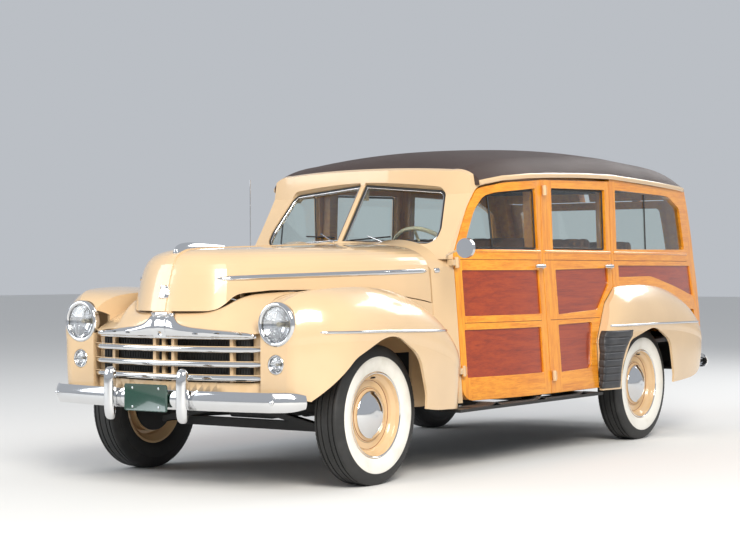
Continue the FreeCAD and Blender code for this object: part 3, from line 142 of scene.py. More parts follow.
class Finish:
    def __init__(self, name):
        self.material = bpy.data.materials.new(name)
        self.material.use_nodes = True
        self.tree = self.material.node_tree
        self.tree.nodes.clear()
        self.shader = self.tree.nodes.new("ShaderNodeBsdfPrincipled")
        output = self.tree.nodes.new("ShaderNodeOutputMaterial")
        self.tree.links.new(self.shader.outputs[0], output.inputs[0])

    def node(self, kind, settings=None, sockets=None, out=0):
        made = self.tree.nodes.new(kind)
        for key, value in (settings or {}).items():
            if key == "stops":
                ramp = made.color_ramp
                while len(ramp.elements) < len(value):
                    ramp.elements.new(0.5)
                for element, (position, colour) in zip(ramp.elements, value):
                    element.position = position
                    element.color = (*colour, 1)
            else:
                setattr(made, key, value)
        for key, value in (sockets or {}).items():
            self.feed(made.inputs[key], value)
        return Wire(self, made.outputs[out])

    def feed(self, socket, value):
        if isinstance(value, Wire):
            self.tree.links.new(value.socket, socket)
        elif isinstance(value, (tuple, list)) and socket.type == "RGBA":
            socket.default_value = (*value[:3], 1)
        else:
            socket.default_value = value

    # Object coordinates
    def spot(self):
        return self.node("ShaderNodeTexCoord", out=3)

    def parts(self, vector):
        split = self.tree.nodes.new("ShaderNodeSeparateXYZ")
        self.feed(split.inputs[0], vector)
        return [Wire(self, socket) for socket in split.outputs]

    def stretched(self, vector, scale):
        return self.node("ShaderNodeMapping", {}, {"Vector": vector, "Scale": scale})

    def noise(self, vector, scale, detail=4.0, rough=0.5, distortion=0.0):
        return self.node("ShaderNodeTexNoise", {}, {"Vector": vector, "Scale": scale, "Detail": detail,
                                                     "Roughness": rough, "Distortion": distortion})

    # 0 on the lines between cells, 1 inside them
    def cells(self, vector, scale, edge):
        lines = self.node("ShaderNodeTexVoronoi", {"feature": "DISTANCE_TO_EDGE"},
                          {"Vector": vector, "Scale": scale})
        return self.step(lines, 0.0, edge)

    def mix(self, factor, first, second):
        return self.node("ShaderNodeMix", {"data_type": "RGBA"}, {0: factor, 6: first, 7: second}, out=2)

    def ramp(self, factor, stops):
        return self.node("ShaderNodeValToRGB", {"stops": stops}, {"Fac": factor})

    # Smooth 0 to 1 between two values
    def step(self, value, low, high):
        return self.node("ShaderNodeMapRange", {"interpolation_type": "SMOOTHSTEP"},
                         {"Value": value, "From Min": low, "From Max": high, "To Min": 0.0, "To Max": 1.0})

    def bump(self, height, depth, strength):
        return self.node("ShaderNodeBump", {}, {"Height": height, "Distance": depth, "Strength": strength})

    def set(self, **values):
        names = {"colour": "Base Color", "rough": "Roughness", "metal": "Metallic", "coat": "Coat Weight",
                 "coatRough": "Coat Roughness", "normal": "Normal", "clear": "Transmission Weight",
                 "index": "IOR"}
        for key, value in values.items():
            self.feed(self.shader.inputs[names[key]], value)
        return self.material


def shaded(colour, share, lift=0.0):
    return tuple(c * share + lift for c in colour)


def paintFinish(name, colour):
    paint = Finish(name)
    spot = paint.spot()
    cloud = paint.noise(spot, 2.2, 3.0)
    dust = paint.noise(spot, 60.0, 5.0, 0.6)
    tone = paint.mix(paint.step(cloud, 0.35, 0.7), colour, shaded(colour, 0.93))
    peel = paint.noise(spot, 900.0, 2.0)
    return paint.set(colour=tone, rough=0.20 + dust * 0.10, coat=0.8, coatRough=0.05, metal=0.0,
                     normal=paint.bump(peel, 0.00012, 0.25))


def chromeFinish(name, tint):
    chrome = Finish(name)
    smear = chrome.noise(chrome.spot(), 14.0, 5.0, 0.6)
    tone = chrome.mix(smear, tint, shaded(tint, 0.93))
    return chrome.set(colour=tone, metal=1.0, rough=0.045 + smear * 0.06)


mapleLook = {
    "fine": 26.0,
    "long": 1.6,
    "stops": [(0.30, (0.58, 0.165, 0.007)), (0.46, (0.76, 0.265, 0.011)), (0.60, (0.88, 0.36, 0.020)),
              (0.75, (0.70, 0.225, 0.009))],
    "pore": (0.42, 0.105, 0.006),
    "poreShare": 0.4,
}
mahoganyLook = {
    "fine": 34.0,
    "long": 1.6,
    "stops": [(0.28, (0.17, 0.017, 0.001)), (0.47, (0.29, 0.032, 0.002)), (0.62, (0.38, 0.050, 0.002)),
              (0.78, (0.23, 0.024, 0.001))],
    "pore": (0.11, 0.010, 0.001),
    "poreShare": 0.5,
}


# Colour and height of the grain, stretched along one axis
def grain(wood, spot, look, scale):
    stretched = wood.stretched(spot, scale)
    streak = wood.noise(stretched, 5.0, 8.0, 0.62, 0.6)
    band = wood.noise(stretched, 1.3, 3.0, 0.5, 0.3)
    pores = wood.noise(wood.stretched(spot, tuple(s * 6 for s in scale)), 8.0, 4.0, 0.6)
    tone = wood.ramp(streak * 0.55 + band * 0.45, look["stops"])
    tone = wood.mix(wood.step(pores, 0.56, 0.72) * look["poreShare"], tone, look["pore"])
    return tone, streak * 0.5 + pores * 0.5


# Varnished wood: the grain runs along Y, or along Z between the stations of an upright member
def woodFinish(name, look, uprights=()):
    wood = Finish(name)
    spot = wood.spot()
    fine, long = look["fine"], look["long"]
    colour, height = grain(wood, spot, look, (fine, long, fine))
    if uprights:
        standing = grain(wood, spot, look, (fine, fine, long))
        y = wood.parts(spot)[1]
        mask = None
        for low, high in uprights:
            band = (y > low + axleY) * (y < high + axleY)
            mask = band if mask is None else mask.larger(band)
        colour = wood.mix(mask, colour, standing[0])
        height = height + (standing[1] - height) * mask
    return wood.set(colour=colour, rough=0.24 + height * 0.12, coat=0.9, coatRough=0.06,
                    normal=wood.bump(height, 0.0004, 0.5))


def vinylFinish(name, colour):
    vinyl = Finish(name)
    spot = vinyl.spot()
    pits = vinyl.cells(spot, 520.0, 0.18)
    cloud = vinyl.noise(spot, 3.0, 4.0)
    tone = vinyl.mix(vinyl.step(cloud, 0.3, 0.75), colour, shaded(colour, 0.7))
    # The lines between the cells are sunk by the bump and painted darker: painted shade in the pits
    return vinyl.set(colour=vinyl.mix(pits, shaded(colour, 0.45), tone), rough=0.46 + cloud * 0.14,
                     normal=vinyl.bump(pits, 0.0006, 0.6))


def leatherFinish(name, colour):
    leather = Finish(name)
    spot = leather.spot()
    creases = leather.cells(spot, 330.0, 0.12)
    worn = leather.noise(spot, 5.0, 5.0, 0.6)
    tone = leather.mix(leather.step(worn, 0.42, 0.7), colour, shaded(colour, 1.45))
    # The lines between the cells are sunk by the bump and painted darker: painted shade in the creases
    return leather.set(colour=leather.mix(creases, shaded(colour, 0.5), tone), rough=0.36 + worn * 0.2,
                       normal=leather.bump(creases, 0.0008, 0.5))


def rubberFinish(name, colour, rough):
    rubber = Finish(name)
    spot = rubber.spot()
    dust = rubber.noise(spot, 9.0, 6.0, 0.65)
    tone = rubber.mix(rubber.step(dust, 0.4, 0.75) * 0.5, colour, shaded(colour, 2.0, 0.01))
    return rubber.set(colour=tone, rough=rough + dust * 0.15,
                      normal=rubber.bump(rubber.noise(spot, 600.0, 3.0), 0.0003, 0.4))


def whiteRubberFinish(name, clean, soiled):
    white = Finish(name)
    soil = white.noise(white.spot(), 7.0, 6.0, 0.6)
    return white.set(colour=white.mix(white.step(soil, 0.45, 0.8), clean, soiled), rough=0.42 + soil * 0.15,
                     normal=white.bump(soil, 0.0004, 0.3))


def steelFinish(name, colour, rough, metal):
    steel = Finish(name)
    spot = steel.spot()
    grime = steel.noise(spot, 11.0, 6.0, 0.62)
    tone = steel.mix(steel.step(grime, 0.4, 0.72), colour, shaded(colour, 0.55, 0.01))
    return steel.set(colour=tone, rough=rough + grime * 0.2, metal=metal,
                     normal=steel.bump(steel.noise(spot, 240.0, 3.0), 0.0003, 0.4))


def glassFinish(name, tint):
    glass = Finish(name)
    film = glass.noise(glass.spot(), 3.0, 4.0)
    return glass.set(colour=tint, rough=film * 0.03, clear=1.0, index=1.45)


# Each finish: the record's material for it, how it is made, its colour and other values
finishLook = {
    "creamPaint": ("cream_paint", paintFinish, (0.69, 0.49, 0.285)),
    "creamWheel": ("cream_paint", paintFinish, (0.69, 0.475, 0.26)),
    "plateGreen": ("cream_paint", paintFinish, (0.006, 0.045, 0.028)),
    "pinstripe": ("cream_paint", paintFinish, (0.23, 0.075, 0.018)),
    "creamPlastic": ("cream_plastic", paintFinish, (0.72, 0.62, 0.42)),
    "chrome": ("chrome", chromeFinish, (0.74, 0.745, 0.755)),
    "mahogany": ("mahogany", woodFinish, mahoganyLook),
    "woodSeam": ("maple", rubberFinish, (0.09, 0.025, 0.006), 0.6),
    "roofVinyl": ("roof_vinyl", vinylFinish, (0.060, 0.030, 0.022)),
    "leather": ("leather", leatherFinish, (0.24, 0.095, 0.038)),
    "tyreRubber": ("rubber", rubberFinish, (0.018, 0.018, 0.018), 0.52),
    "blackRubber": ("rubber", rubberFinish, (0.012, 0.012, 0.012), 0.45),
    "shieldRubber": ("rubber", rubberFinish, (0.035, 0.036, 0.040), 0.36),
    "whiteRubber": ("rubber", whiteRubberFinish, (0.80, 0.78, 0.72), (0.66, 0.63, 0.55)),
    "blackSteel": ("black_steel", steelFinish, (0.022, 0.022, 0.022), 0.42, 0.2),
    "castIron": ("cast_iron", steelFinish, (0.06, 0.062, 0.065), 0.6, 0.5),
    "glass": ("glass", glassFinish, (0.86, 0.92, 0.90)),
    "lens": ("glass", glassFinish, (0.96, 0.97, 0.98)),
    "redLens": ("glass", glassFinish, (0.55, 0.02, 0.015)),
}
# Metres behind the front axle between which each wooden frame's members stand upright
uprightLook = {
    "door_front": [(0.885, 0.945), (1.615, 1.700)],
    "door_rear": [(1.670, 1.810), (2.478, 2.560)],
    "body_frame": [(2.500, 2.620), (3.800, 3.960)],
    "gates": [],
}
for key, uprights in uprightLook.items():
    finishLook["maple_" + key] = ("maple", woodFinish, mapleLook, uprights)
finishes = {name: make(name, *values) for name, (slot, make, *values) in finishLook.items()}
print("finishes made")


def finishPiece(piece, node, angle=35):
    for face in piece.data.polygons:
        face.use_smooth = True
    piece.data.set_sharp_from_angle(angle=math.radians(angle))
    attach(piece, nodes[node]["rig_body"])
    return piece


def meshFrom(shape, name, *looks):
    mesh = bpy.data.meshes.new(name)
    for finish in looks:
        mesh.materials.append(finishes[finish])
    shape.to_mesh(mesh)
    shape.free()
    return mesh


# A piece on the same body as a CAD node, from a shape that is clean
def pieceFrom(shape, name, node, finish, angle=35):
    return finishPiece(linked(name, meshFrom(shape, name, finish)), node, angle)


# Doubles merged and faces outward. A closed shape that still faces inward is turned round
def cleaned(shape):
    bmesh.ops.remove_doubles(shape, verts=shape.verts, dist=0.00001)
    bmesh.ops.recalc_face_normals(shape, faces=shape.faces)
    if all(edge.is_manifold for edge in shape.edges) and shape.calc_volume(signed=True) < 0:
        bmesh.ops.reverse_faces(shape, faces=shape.faces)
    return shape


def built(shape, name, node, finish, angle=35):
    return pieceFrom(cleaned(shape), name, node, finish, angle)


# The shape of a piece with its modifiers
def evaluated(piece):
    shape = bmesh.new()
    shape.from_mesh(piece.evaluated_get(bpy.context.evaluated_depsgraph_get()).to_mesh())
    return shape


def subdivided(piece, levels):
    smooth = piece.modifiers.new("rounded", "SUBSURF")
    smooth.levels = levels
    smooth.render_levels = levels


def sideWord(side):
    return "left" if side > 0 else "right"


def perSide(name, side):
    return name + sideWord(side).title()


# Millimetres as measured: distance from the middle, station behind the front axle, height above the floor
def spotAt(x, station, height):
    return Vector((x / 1000, station / 1000 + axleY, height / 1000))


# Lines of points bridged one to the next. Rings make a tube, closed at its ends or joined to itself
def bridged(shape, rows, rings=True, closed=False):
    lines = []
    for row in rows:
        verts = [shape.verts.new(point) for point in row]
        following = verts[1:] + (verts[:1] if rings else [])
        lines.append([shape.edges.new(pair) for pair in zip(verts, following)])
    for first, second in zip(lines, lines[1:] + (lines[:1] if closed else [])):
        bmesh.ops.bridge_loops(shape, edges=first + second)
    if rings and not closed:
        bmesh.ops.holes_fill(shape, edges=lines[0] + lines[-1], sides=0)


# A section swept along a path. Path rows: point, outward direction, upward direction, size of the section
def swept(shape, path, section, closed=False):
    rings = []
    for point, out, up, size in path:
        rings.append([point + (out * (a * size) + up * (b * size)) / 1000 for a, b in section])
    bridged(shape, rings, closed=closed)


# Half-round moulding with its back sunk: depth and height
def halfRound(depth, height, sunk=2, steps=8):
    section = []
    for step in range(steps + 1):
        angle = -math.pi / 2 + math.pi * step / steps
        section.append((depth * math.cos(angle), height / 2 * math.sin(angle)))
    return section + [(-sunk, height / 2), (-sunk, -height / 2)]


# A profile spun round an axis. Profile rows: distance outward along the axis, radius
def lathed(shape, profile, centre, axis, steps, closed=False):
    axis = Vector(axis)
    across = axis.orthogonal().normalized()
    verts = [shape.verts.new(centre + (axis * out + across * radius) / 1000) for out, radius in profile]
    edges = [shape.edges.new(pair) for pair in zip(verts, verts[1:] + (verts[:1] if closed else []))]
    bmesh.ops.spin(shape, geom=verts + edges, cent=centre, axis=axis, angle=2 * math.pi, steps=steps,
                   use_merge=True)


def turned(name, node, finish, profile, centre, axis, steps, closed=False):
    shape = bmesh.new()
    lathed(shape, profile, centre, axis, steps, closed)
    return built(shape, name, node, finish)


# A point's distance along an axis, its radius, and its turn from where a spun profile starts
def polar(point, centre, axis):
    axis = Vector(axis)
    across = axis.orthogonal().normalized()
    spoke = (point - centre) * 1000
    first, second = spoke.dot(across), spoke.dot(axis.cross(across))
    return spoke.dot(axis), math.hypot(first, second), math.atan2(second, first)


def blocked(shape, low, high):
    made = bmesh.ops.create_cube(shape, size=1)
    for vertex in made["verts"]:
        share = vertex.co + Vector((0.5, 0.5, 0.5))
        vertex.co = Vector([low[i] + (high[i] - low[i]) * share[i] for i in range(3)])


def rodded(shape, start, end, radius, steps=16):
    long = (end - start).length * 1000
    profile = [(0, tipRadius), (0, radius), (long, radius), (long, tipRadius)]
    lathed(shape, profile, start, (end - start).normalized(), steps)


def arcPoints(first, middle, last, steps):
    a, b, c = Vector(first), Vector(middle), Vector(last)
    ab, bc = b - a, c - b
    turn = 2 * (ab.x * bc.y - ab.y * bc.x)
    p, q = b.length_squared - a.length_squared, c.length_squared - b.length_squared
    centre = Vector(((p * bc.y - q * ab.y) / turn, (ab.x * q - bc.x * p) / turn))
    start, end = a - centre, c - centre
    whole = math.atan2(start.x * end.y - start.y * end.x, start.dot(end))
    line = []
    for step in range(steps + 1):
        angle = whole * step / steps
        line.append(centre + Vector((start.x * math.cos(angle) - start.y * math.sin(angle),
                                     start.x * math.sin(angle) + start.y * math.cos(angle))))
    return line


# An outline with rounded corners as a line of points. Rows: first, second, corner radius
def roundedLine(outline, steps):
    line = []
    for index, row in enumerate(outline):
        corner = Vector(row[:2])
        before = (Vector(outline[index - 1][:2]) - corner).normalized()
        after = (Vector(outline[(index + 1) % len(outline)][:2]) - corner).normalized()
        half = before.angle(after) / 2
        reach = row[2] / math.tan(half)
        middle = corner + (before + after).normalized() * (row[2] / math.sin(half) - row[2])
        line += arcPoints(corner + before * reach, middle, corner + after * reach, steps)
    return line


# A value between the rows of a table with two columns
def valueAlong(rows, place):
    for (y0, z0), (y1, z1) in zip(rows, rows[1:]):
        if y0 <= place <= y1:
            return z0 + (z1 - z0) * (place - y0) / (y1 - y0)
    return rows[-1][1]


# Where a ray meets the outer surface of some CAD nodes: the point and the direction out of the surface
class Skin:
    def __init__(self, *names):
        points, faces = [], []
        for name in names:
            mesh = nodes[name].data
            start = len(points)
            points += [vertex.co.copy() for vertex in mesh.vertices]
            faces += [[start + index for index in face.vertices] for face in mesh.polygons]
        self.tree = BVHTree.FromPolygons(points, faces)

    def hit(self, start, direction):
        point, normal = self.tree.ray_cast(start, direction)[:2]
        if point is None:
            return None
        return point, normal * (-1 if normal.dot(direction) > 0 else 1)

    def side(self, station, height, side=1):
        return self.hit(spotAt(side * 2000, station, height), Vector((-side, 0, 0)))

    def front(self, x, height):
        return self.hit(spotAt(x, -2000, height), Vector((0, 1, 0)))

    def top(self, x, station):
        return self.hit(spotAt(x, station, 3000), Vector((0, 0, -1)))


# A moulding laid along points of a surface. Rows: point, direction out, size of the section
def stripped(shape, rows, section, closed=False):
    path = []
    for index, (point, out, size) in enumerate(rows):
        before = rows[index - 1][0] if index or closed else point
        after = rows[(index + 1) % len(rows)][0] if closed or index < len(rows) - 1 else point
        up = out.cross((after - before).normalized()).normalized()
        path.append((point, out, up, size))
    swept(shape, path, section, closed)


# How a moulding's end grows: share of the taper's length, size of the section
taperShares = [(0, 0.15), (0.1, 0.45), (0.3, 0.75), (0.6, 0.95)]


# Stations from start to end, closer together at the two ends where the section grows from thin
def taperedRun(start, end, steps, taper):
    run = [(start + taper * share, size) for share, size in taperShares]
    run += [(start + taper + (end - start - 2 * taper) * step / steps, 1) for step in range(steps + 1)]
    return run + [(end - taper * share, size) for share, size in reversed(taperShares)]


# A moulding along a CAD node's side. Rows: station, height
def addSideStrip(name, node, rows, side, depth, tall, taper, finish="chrome"):
    skin = Skin(node)
    steps = max(int((rows[-1][0] - rows[0][0]) / 45), 2)
    path = []
    for station, size in taperedRun(rows[0][0], rows[-1][0], steps, taper):
        hit = skin.side(station, valueAlong(rows, station), side)
        if hit:
            path.append((hit[0], hit[1].normalized(), size))
    shape = bmesh.new()
    stripped(shape, path, halfRound(depth, tall))
    built(shape, name, node, finish, 50)


nodeFinish = {
    "blackSteel": ["chassis_frame", "front_axle", "rear_axle", "knuckle_left", "knuckle_right", "fuel_tank",
                   "floor_pan", "running_boards"],
    "castIron": ["exhaust", "engine"],
    "creamPaint": ["front_fenders", "rear_fenders", "hood", "cowl", "grille_panel", "steering_column"],
    "creamPlastic": ["steering_wheel"],
    "creamWheel": [],
    "tyreRubber": [],
    "chrome": ["grille_bars", "outside_fittings", "lamps", "bumpers"],
    "roofVinyl": ["roof"],
    "leather": ["seats"],
    "maple_body_frame": ["body_frame"],
    "maple_gates": ["tailgate_frame", "liftgate_frame"],
    "maple_door_front": [],
    "maple_door_rear": [],
    "mahogany": ["body_panels", "tailgate_panels"],
    "glass": ["fixed_glass", "liftgate_glass"],
}
for end in ("front", "rear"):
    for side in ("left", "right"):
        corner = "%s_%s" % (end, side)
        nodeFinish["maple_door_" + end].append("door_%s_frame" % corner)
        nodeFinish["mahogany"].append("door_%s_panels" % corner)
        nodeFinish["glass"].append("door_%s_glass" % corner)
        nodeFinish["tyreRubber"].append("tyre_" + corner)
        nodeFinish["creamWheel"].append("wheel_" + corner)
for finish, names in nodeFinish.items():
    for name in names:
        nodes[name].data.materials.clear()
        nodes[name].data.materials.append(finishes[finish])
print("parts dressed")


# Tyres: a white band on the outer side, blocks at the shoulder and grooves round the tread.
# Rows: distance out from the wheel's middle, radius
tyreLook = {
    "steps": 180,
    "side": [(58, 209), (63, 217), (70, 226), (76, 244), (79.2, 262), (80, 276), (78.8, 288), (78, 291.5),
             (77.4, 292), (78.2, 294), (77, 302), (75, 312), (73, 322), (70, 331), (67, 339), (63.5, 345),
             (58.5, 348.5)],
    "tread": [(52, 349.5), (50, 349.5), (49, 344), (44, 344), (43, 349.8), (24, 350), (23, 344.5),
              (18, 344.5), (17, 350)],
    "whiteBand": (217, 291.5),
    "blockBand": (300, 348),
    "blockDepth": 2.2,
}
wheelPlaces = {"front": (736.5, 0), "rear": (762, 2896)}


def addTyre(end, side):
    name = "tyre_%s_%s" % (end, sideWord(side))
    x, station = wheelPlaces[end]
    centre, axis, steps = spotAt(side * x, station, hubHeight), Vector((side, 0, 0)), tyreLook["steps"]
    outer = tyreLook["side"] + tyreLook["tread"]
    shape = bmesh.new()
    lathed(shape, outer + [(-out, radius) for out, radius in reversed(outer)], centre, axis, steps, True)
    low, high = tyreLook["blockBand"]
    for vertex in shape.verts:
        out, radius, turn = polar(vertex.co, centre, axis)
        if low < radius < high and round(turn * steps / (2 * math.pi)) % 2:
            inward = centre + axis * out / 1000 - vertex.co
            vertex.co += inward * tyreLook["blockDepth"] / radius
    low, high = tyreLook["whiteBand"]
    for face in shape.faces:
        out, radius, turn = polar(face.calc_center_median(), centre, axis)
        face.material_index = 0 if out > 0 and low < radius < high else 1
    mesh = meshFrom(cleaned(shape), name + ".tyre", "whiteRubber", "tyreRubber")
    tyre = finishPiece(linked(name + ".tyre", mesh), name, 40)
    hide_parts(name)


# Wheel dressing. The cap's foot rows: distance out, radius. Its dome is an arc through three points: radius,
# distance out. Stripes: radius, width, finish. Valve rods: start, end, radius
wheelLook = {
    "capFoot": [(28, 116), (29, 119), (32, 120), (34.5, 118.5), (35.5, 116.5)],
    "capDome": [(0, 66.7), (70, 58.7), (116, 34.7)],
    "domeEdge": 114,
    "stripes": [(132, 3.2, "pinstripe"), (139, 1.6, "blackRubber"), (172, 2.4, "pinstripe")],
    "stripeSunk": 0.4,
    "stripeProud": 0.25,
    "trim": (206, 214),
    "valvePlace": 183,
    "valve": [((-4, 0), (20, 3), 4), ((12, 2), (24, 3.6), 4.6)],
}


def addWheelDress(end, side):
    name = "wheel_%s_%s" % (end, sideWord(side))
    x, station = wheelPlaces[end]
    centre, axis = spotAt(side * x, station, hubHeight), (side, 0, 0)
    skin = Skin(name)

    # How far out the wheel's face lies at a radius
    def face(radius):
        return abs(skin.side(station, hubHeight + radius, side)[0].x) * 1000 - x

    dome = reversed(arcPoints(*wheelLook["capDome"], 16))
    dome = [(row.y, max(row.x, tipRadius)) for row in dome if row.x < wheelLook["domeEdge"]]
    turned(name + ".cap", name, "chrome", wheelLook["capFoot"] + dome, centre, axis, 72)
    sunk, proud = wheelLook["stripeSunk"], wheelLook["stripeProud"]
    for index, (radius, width, finish) in enumerate(wheelLook["stripes"]):
        low, high = radius - width / 2, radius + width / 2
        profile = [(face(low) - sunk, low), (face(low) + proud, low), (face(high) + proud, high),
                   (face(high) - sunk, high)]
        turned("%s.stripe%d" % (name, index), name, finish, profile, centre, axis, 96, True)
    low, high = wheelLook["trim"]
    base, reach = face(low), face(high - 3)
    profile = [(base - 1, low), (base + 1.5, low + 0.5), (reach + 1.5, low + 4), (reach + 2.5, high - 3),
               (reach + 1.5, high - 0.5), (reach - 1, high)]
    turned(name + ".trim", name, "chrome", profile, centre, axis, 96, True)
    foot = skin.side(station, hubHeight + wheelLook["valvePlace"], side)[0]
    shape = bmesh.new()
    for first, last, radius in wheelLook["valve"]:
        ends = [foot + Vector((side * out, 0, rise)) / 1000 for out, rise in (first, last)]
        rodded(shape, *ends, radius)
    built(shape, name + ".valve", name, "blackRubber")


for end in ("front", "rear"):
    for side in (1, -1):
        addTyre(end, side)
        addWheelDress(end, side)
print("wheels dressed")


# Lamps. Ring and bezel rows: distance out, radius.
# Lens and bowl: radius, distance out at the rim and in the middle
lampLook = {
    "headlamp": {"place": (640, -592, 813), "scale": 1, "flutes": 34, "bulb": 12},
    "parking": {"place": (640, -596, 622), "scale": 0.445, "flutes": 16, "bulb": 6},
    "bezel": [(-22, 103), (-6, 107.5), (6, 108), (13, 105.5), (17, 100), (17.5, 94), (15, 88.5), (10, 85),
              (3, 84), (-20, 85)],
    "bezelLeast": 0.6,
    "lens": (85, 6, 25),
    "lensThick": 4,
    "bowl": (88, 2, -48),
    "fluteReach": 80,
    "flute": [(0.5, 0), (0.25, 0.5), (-0.8, 0.7), (-0.8, -0.7), (0.25, -0.5)],
    "bulbEnds": (45, 10),
    "tail": (688, 3934, 760),
    "tailRing": [(0.3, 40), (0.3, 45), (24, 46), (32, 45), (35, 42), (34, 39), (28, 38), (8, 38)],
    "tailLens": (38.5, 29, 37.5),
    "tailBowl": (38, 27, 7),
}


def domeProfile(radius, rim, middle):
    shares = [step / 10 for step in range(10, -1, -1)]
    return [(rim + (middle - rim) * (1 - share ** 2), max(radius * share, tipRadius)) for share in shares]


def addLens(name, finish, size, centre, axis):
    front = domeProfile(*size)
    back = [(out - lampLook["lensThick"], reach) for out, reach in reversed(front)]
    turned(name, "lamps", finish, front + back, centre, axis, 72)


# Upright flutes on a lamp's glass
def addFlutes(name, look, centre):
    scale, count = look["scale"], look["flutes"]
    radius, rim, middle = (size * scale for size in lampLook["lens"])
    reach = lampLook["fluteReach"] * scale
    shape = bmesh.new()
    for index in range(count + 1):
        across = -reach + 2 * reach * index / count
        half = math.sqrt(max(reach * reach - across * across, 0))
        rows = []
        for step in range(13):
            rise = -half + 2 * half * step / 12
            share = (across * across + rise * rise) / radius ** 2
            out = rim + (middle - rim) * (1 - share)
            rows.append((centre + Vector((across, -out, rise)) / 1000, Vector((0, -1, 0)), 1))
        if half > 5:
            stripped(shape, rows, lampLook["flute"])
    built(shape, name, "lamps", "lens")


def addFrontLamp(kind, side):
    look = lampLook[kind]
    name, scale = "%s_%s" % (kind, sideWord(side)), look["scale"]
    x, station, height = look["place"]
    centre, axis = spotAt(side * x, station, height), (0, -1, 0)
    deep = max(scale, lampLook["bezelLeast"])
    profile = [(out * deep, radius * scale) for out, radius in lampLook["bezel"]]
    bezel = turned(name + ".bezel", "lamps", "chrome", profile, centre, axis, 96, True)
    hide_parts("lamps")
    bowl = domeProfile(*(size * scale for size in lampLook["bowl"]))
    turned(name + ".bowl", "lamps", "chrome", bowl, centre, axis, 72)
    addLens(name + ".glass", "lens", [size * scale for size in lampLook["lens"]], centre, axis)
    addFlutes(name + ".flutes", look, centre)
    shape = bmesh.new()
    back, front = (centre + Vector((0, place * scale / 1000, 0)) for place in lampLook["bulbEnds"])
    rodded(shape, back, front, look["bulb"], 20)
    built(shape, name + ".bulb", "lamps", "creamPlastic")


def addTailLamp(side):
    name = "taillamp_" + sideWord(side)
    x, station, height = lampLook["tail"]
    centre, axis = spotAt(side * x, station, height), (0, 1, 0)
    ring = turned(name + ".ring", "lamps", "chrome", lampLook["tailRing"], centre, axis, 64, True)
    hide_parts("lamps")
    addLens(name + ".glass", "redLens", lampLook["tailLens"], centre, axis)
    turned(name + ".bowl", "lamps", "chrome", domeProfile(*lampLook["tailBowl"]), centre, axis, 48)


for side in (1, -1):
    addFrontLamp("headlamp", side)
    addFrontLamp("parking", side)
    addTailLamp(side)
print("lamps dressed")


# Bumpers. The blade's line in plan: distance from the middle, distance back.
# Guard rows: height, half width, reach in front and behind. Bolt rows: distance out, radius
bumperLook = {
    "line": [(0, 0), (352, 23), (690, 88), (762, 148), (815, 216)],
    "faces": {1: 4160, -1: -806},
    "middle": 449,
    "halfHeight": 47,
    "bulge": 14,
    "crown": 2.2,
    "sheet": 5,
    "tipFrom": 745,
    "tipLong": 74,
    "tipShare": 0.96,
    "tipFall": 0.62,
    "guardPlace": 235,
    "guard": [(338, 10, 8, -6), (344, 20, 18, -14), (358, 27, 27, -16), (390, 30, 33, -16),
              (450, 30, 34, -16), (520, 30, 34, -16), (560, 31, 34, -16), (582, 29, 29, -16),
              (595, 22, 20, -14), (602, 10, 8, -6)],
    "bracketPlace": 428,
    "bracketHalf": 24,
    "bracketHeights": (417, 481),
    "bracketBack": 56,
    "frameEnds": {1: 4080, -1: -620},
    "boltPlace": (700, 92),
    "bolt": [(-6, 11), (1.5, 11), (4, 9), (5.5, 6), (6, tipRadius)],
}


def bumperSpot(end, x, back, height):
    return spotAt(x, bumperLook["faces"][end] - end * back, height)


def addBlade(end, name):
    look = bumperLook
    line, middle = look["line"], look["middle"]
    half = arcPoints(*line[:3], 14)[1:] + arcPoints(*line[2:], 12)[1:]
    plan = [Vector((-row.x, row.y)) for row in reversed(half)] + [Vector((0, 0))] + half
    section = [(-look["bulge"] * abs(step / 8) ** look["crown"], step / 8) for step in range(-8, 9)]
    rings = []
    for index, row in enumerate(plan):
        before, after = plan[max(index - 1, 0)], plan[min(index + 1, len(plan) - 1)]
        along = (after - before).normalized()
        out = Vector((along.y, -along.x))
        rise = min(max((abs(row.x) - look["tipFrom"]) / look["tipLong"], 0), look["tipShare"])
        tall = look["halfHeight"] * math.sqrt(1 - rise * rise * look["tipFall"])
        ring = []
        for inset, less, turn in ((0, 0, 1), (look["sheet"], 1, -1)):
            for depth, share in section[::turn]:
                spot = row + out * (depth - inset)
                ring.append(bumperSpot(end, spot.x, spot.y, middle + (tall - less) * share))
        rings.append(ring)
    shape = bmesh.new()
    bridged(shape, rings)
    blade = built(shape, name, "bumpers", "chrome", 50)
    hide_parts("bumpers")


def addGuard(end, side, name):
    rings = []
    for height, halfWidth, frontOut, backOut in bumperLook["guard"]:
        ring = []
        for step in range(32):
            angle = 2 * math.pi * step / 32
            c, s = math.cos(angle), math.sin(angle)
            across = halfWidth * abs(c) ** 0.75 * (1 if c > 0 else -1)
            outward = abs(s) ** 0.8 * (frontOut if s > 0 else backOut)
            ring.append(bumperSpot(end, side * bumperLook["guardPlace"] + across, -outward, height))
        rings.append(ring)
    shape = bmesh.new()
    bridged(shape, rings)
    subdivided(built(shape, name, "bumpers", "chrome", 60), 1)


def addBracket(end, side, name):
    x, half = side * bumperLook["bracketPlace"], bumperLook["bracketHalf"]
    face = bumperLook["faces"][end] - end * bumperLook["bracketBack"]
    low, high = sorted((face, bumperLook["frameEnds"][end]))
    bottom, top = bumperLook["bracketHeights"]
    shape = bmesh.new()
    blocked(shape, spotAt(x - half, low, bottom), spotAt(x + half, high, top))
    bmesh.ops.bevel(shape, geom=shape.edges[:], offset=0.004, offset_type="OFFSET", segments=2, profile=0.5,
                    affect="EDGES", material=-1)
    built(shape, name, "bumpers", "blackSteel")


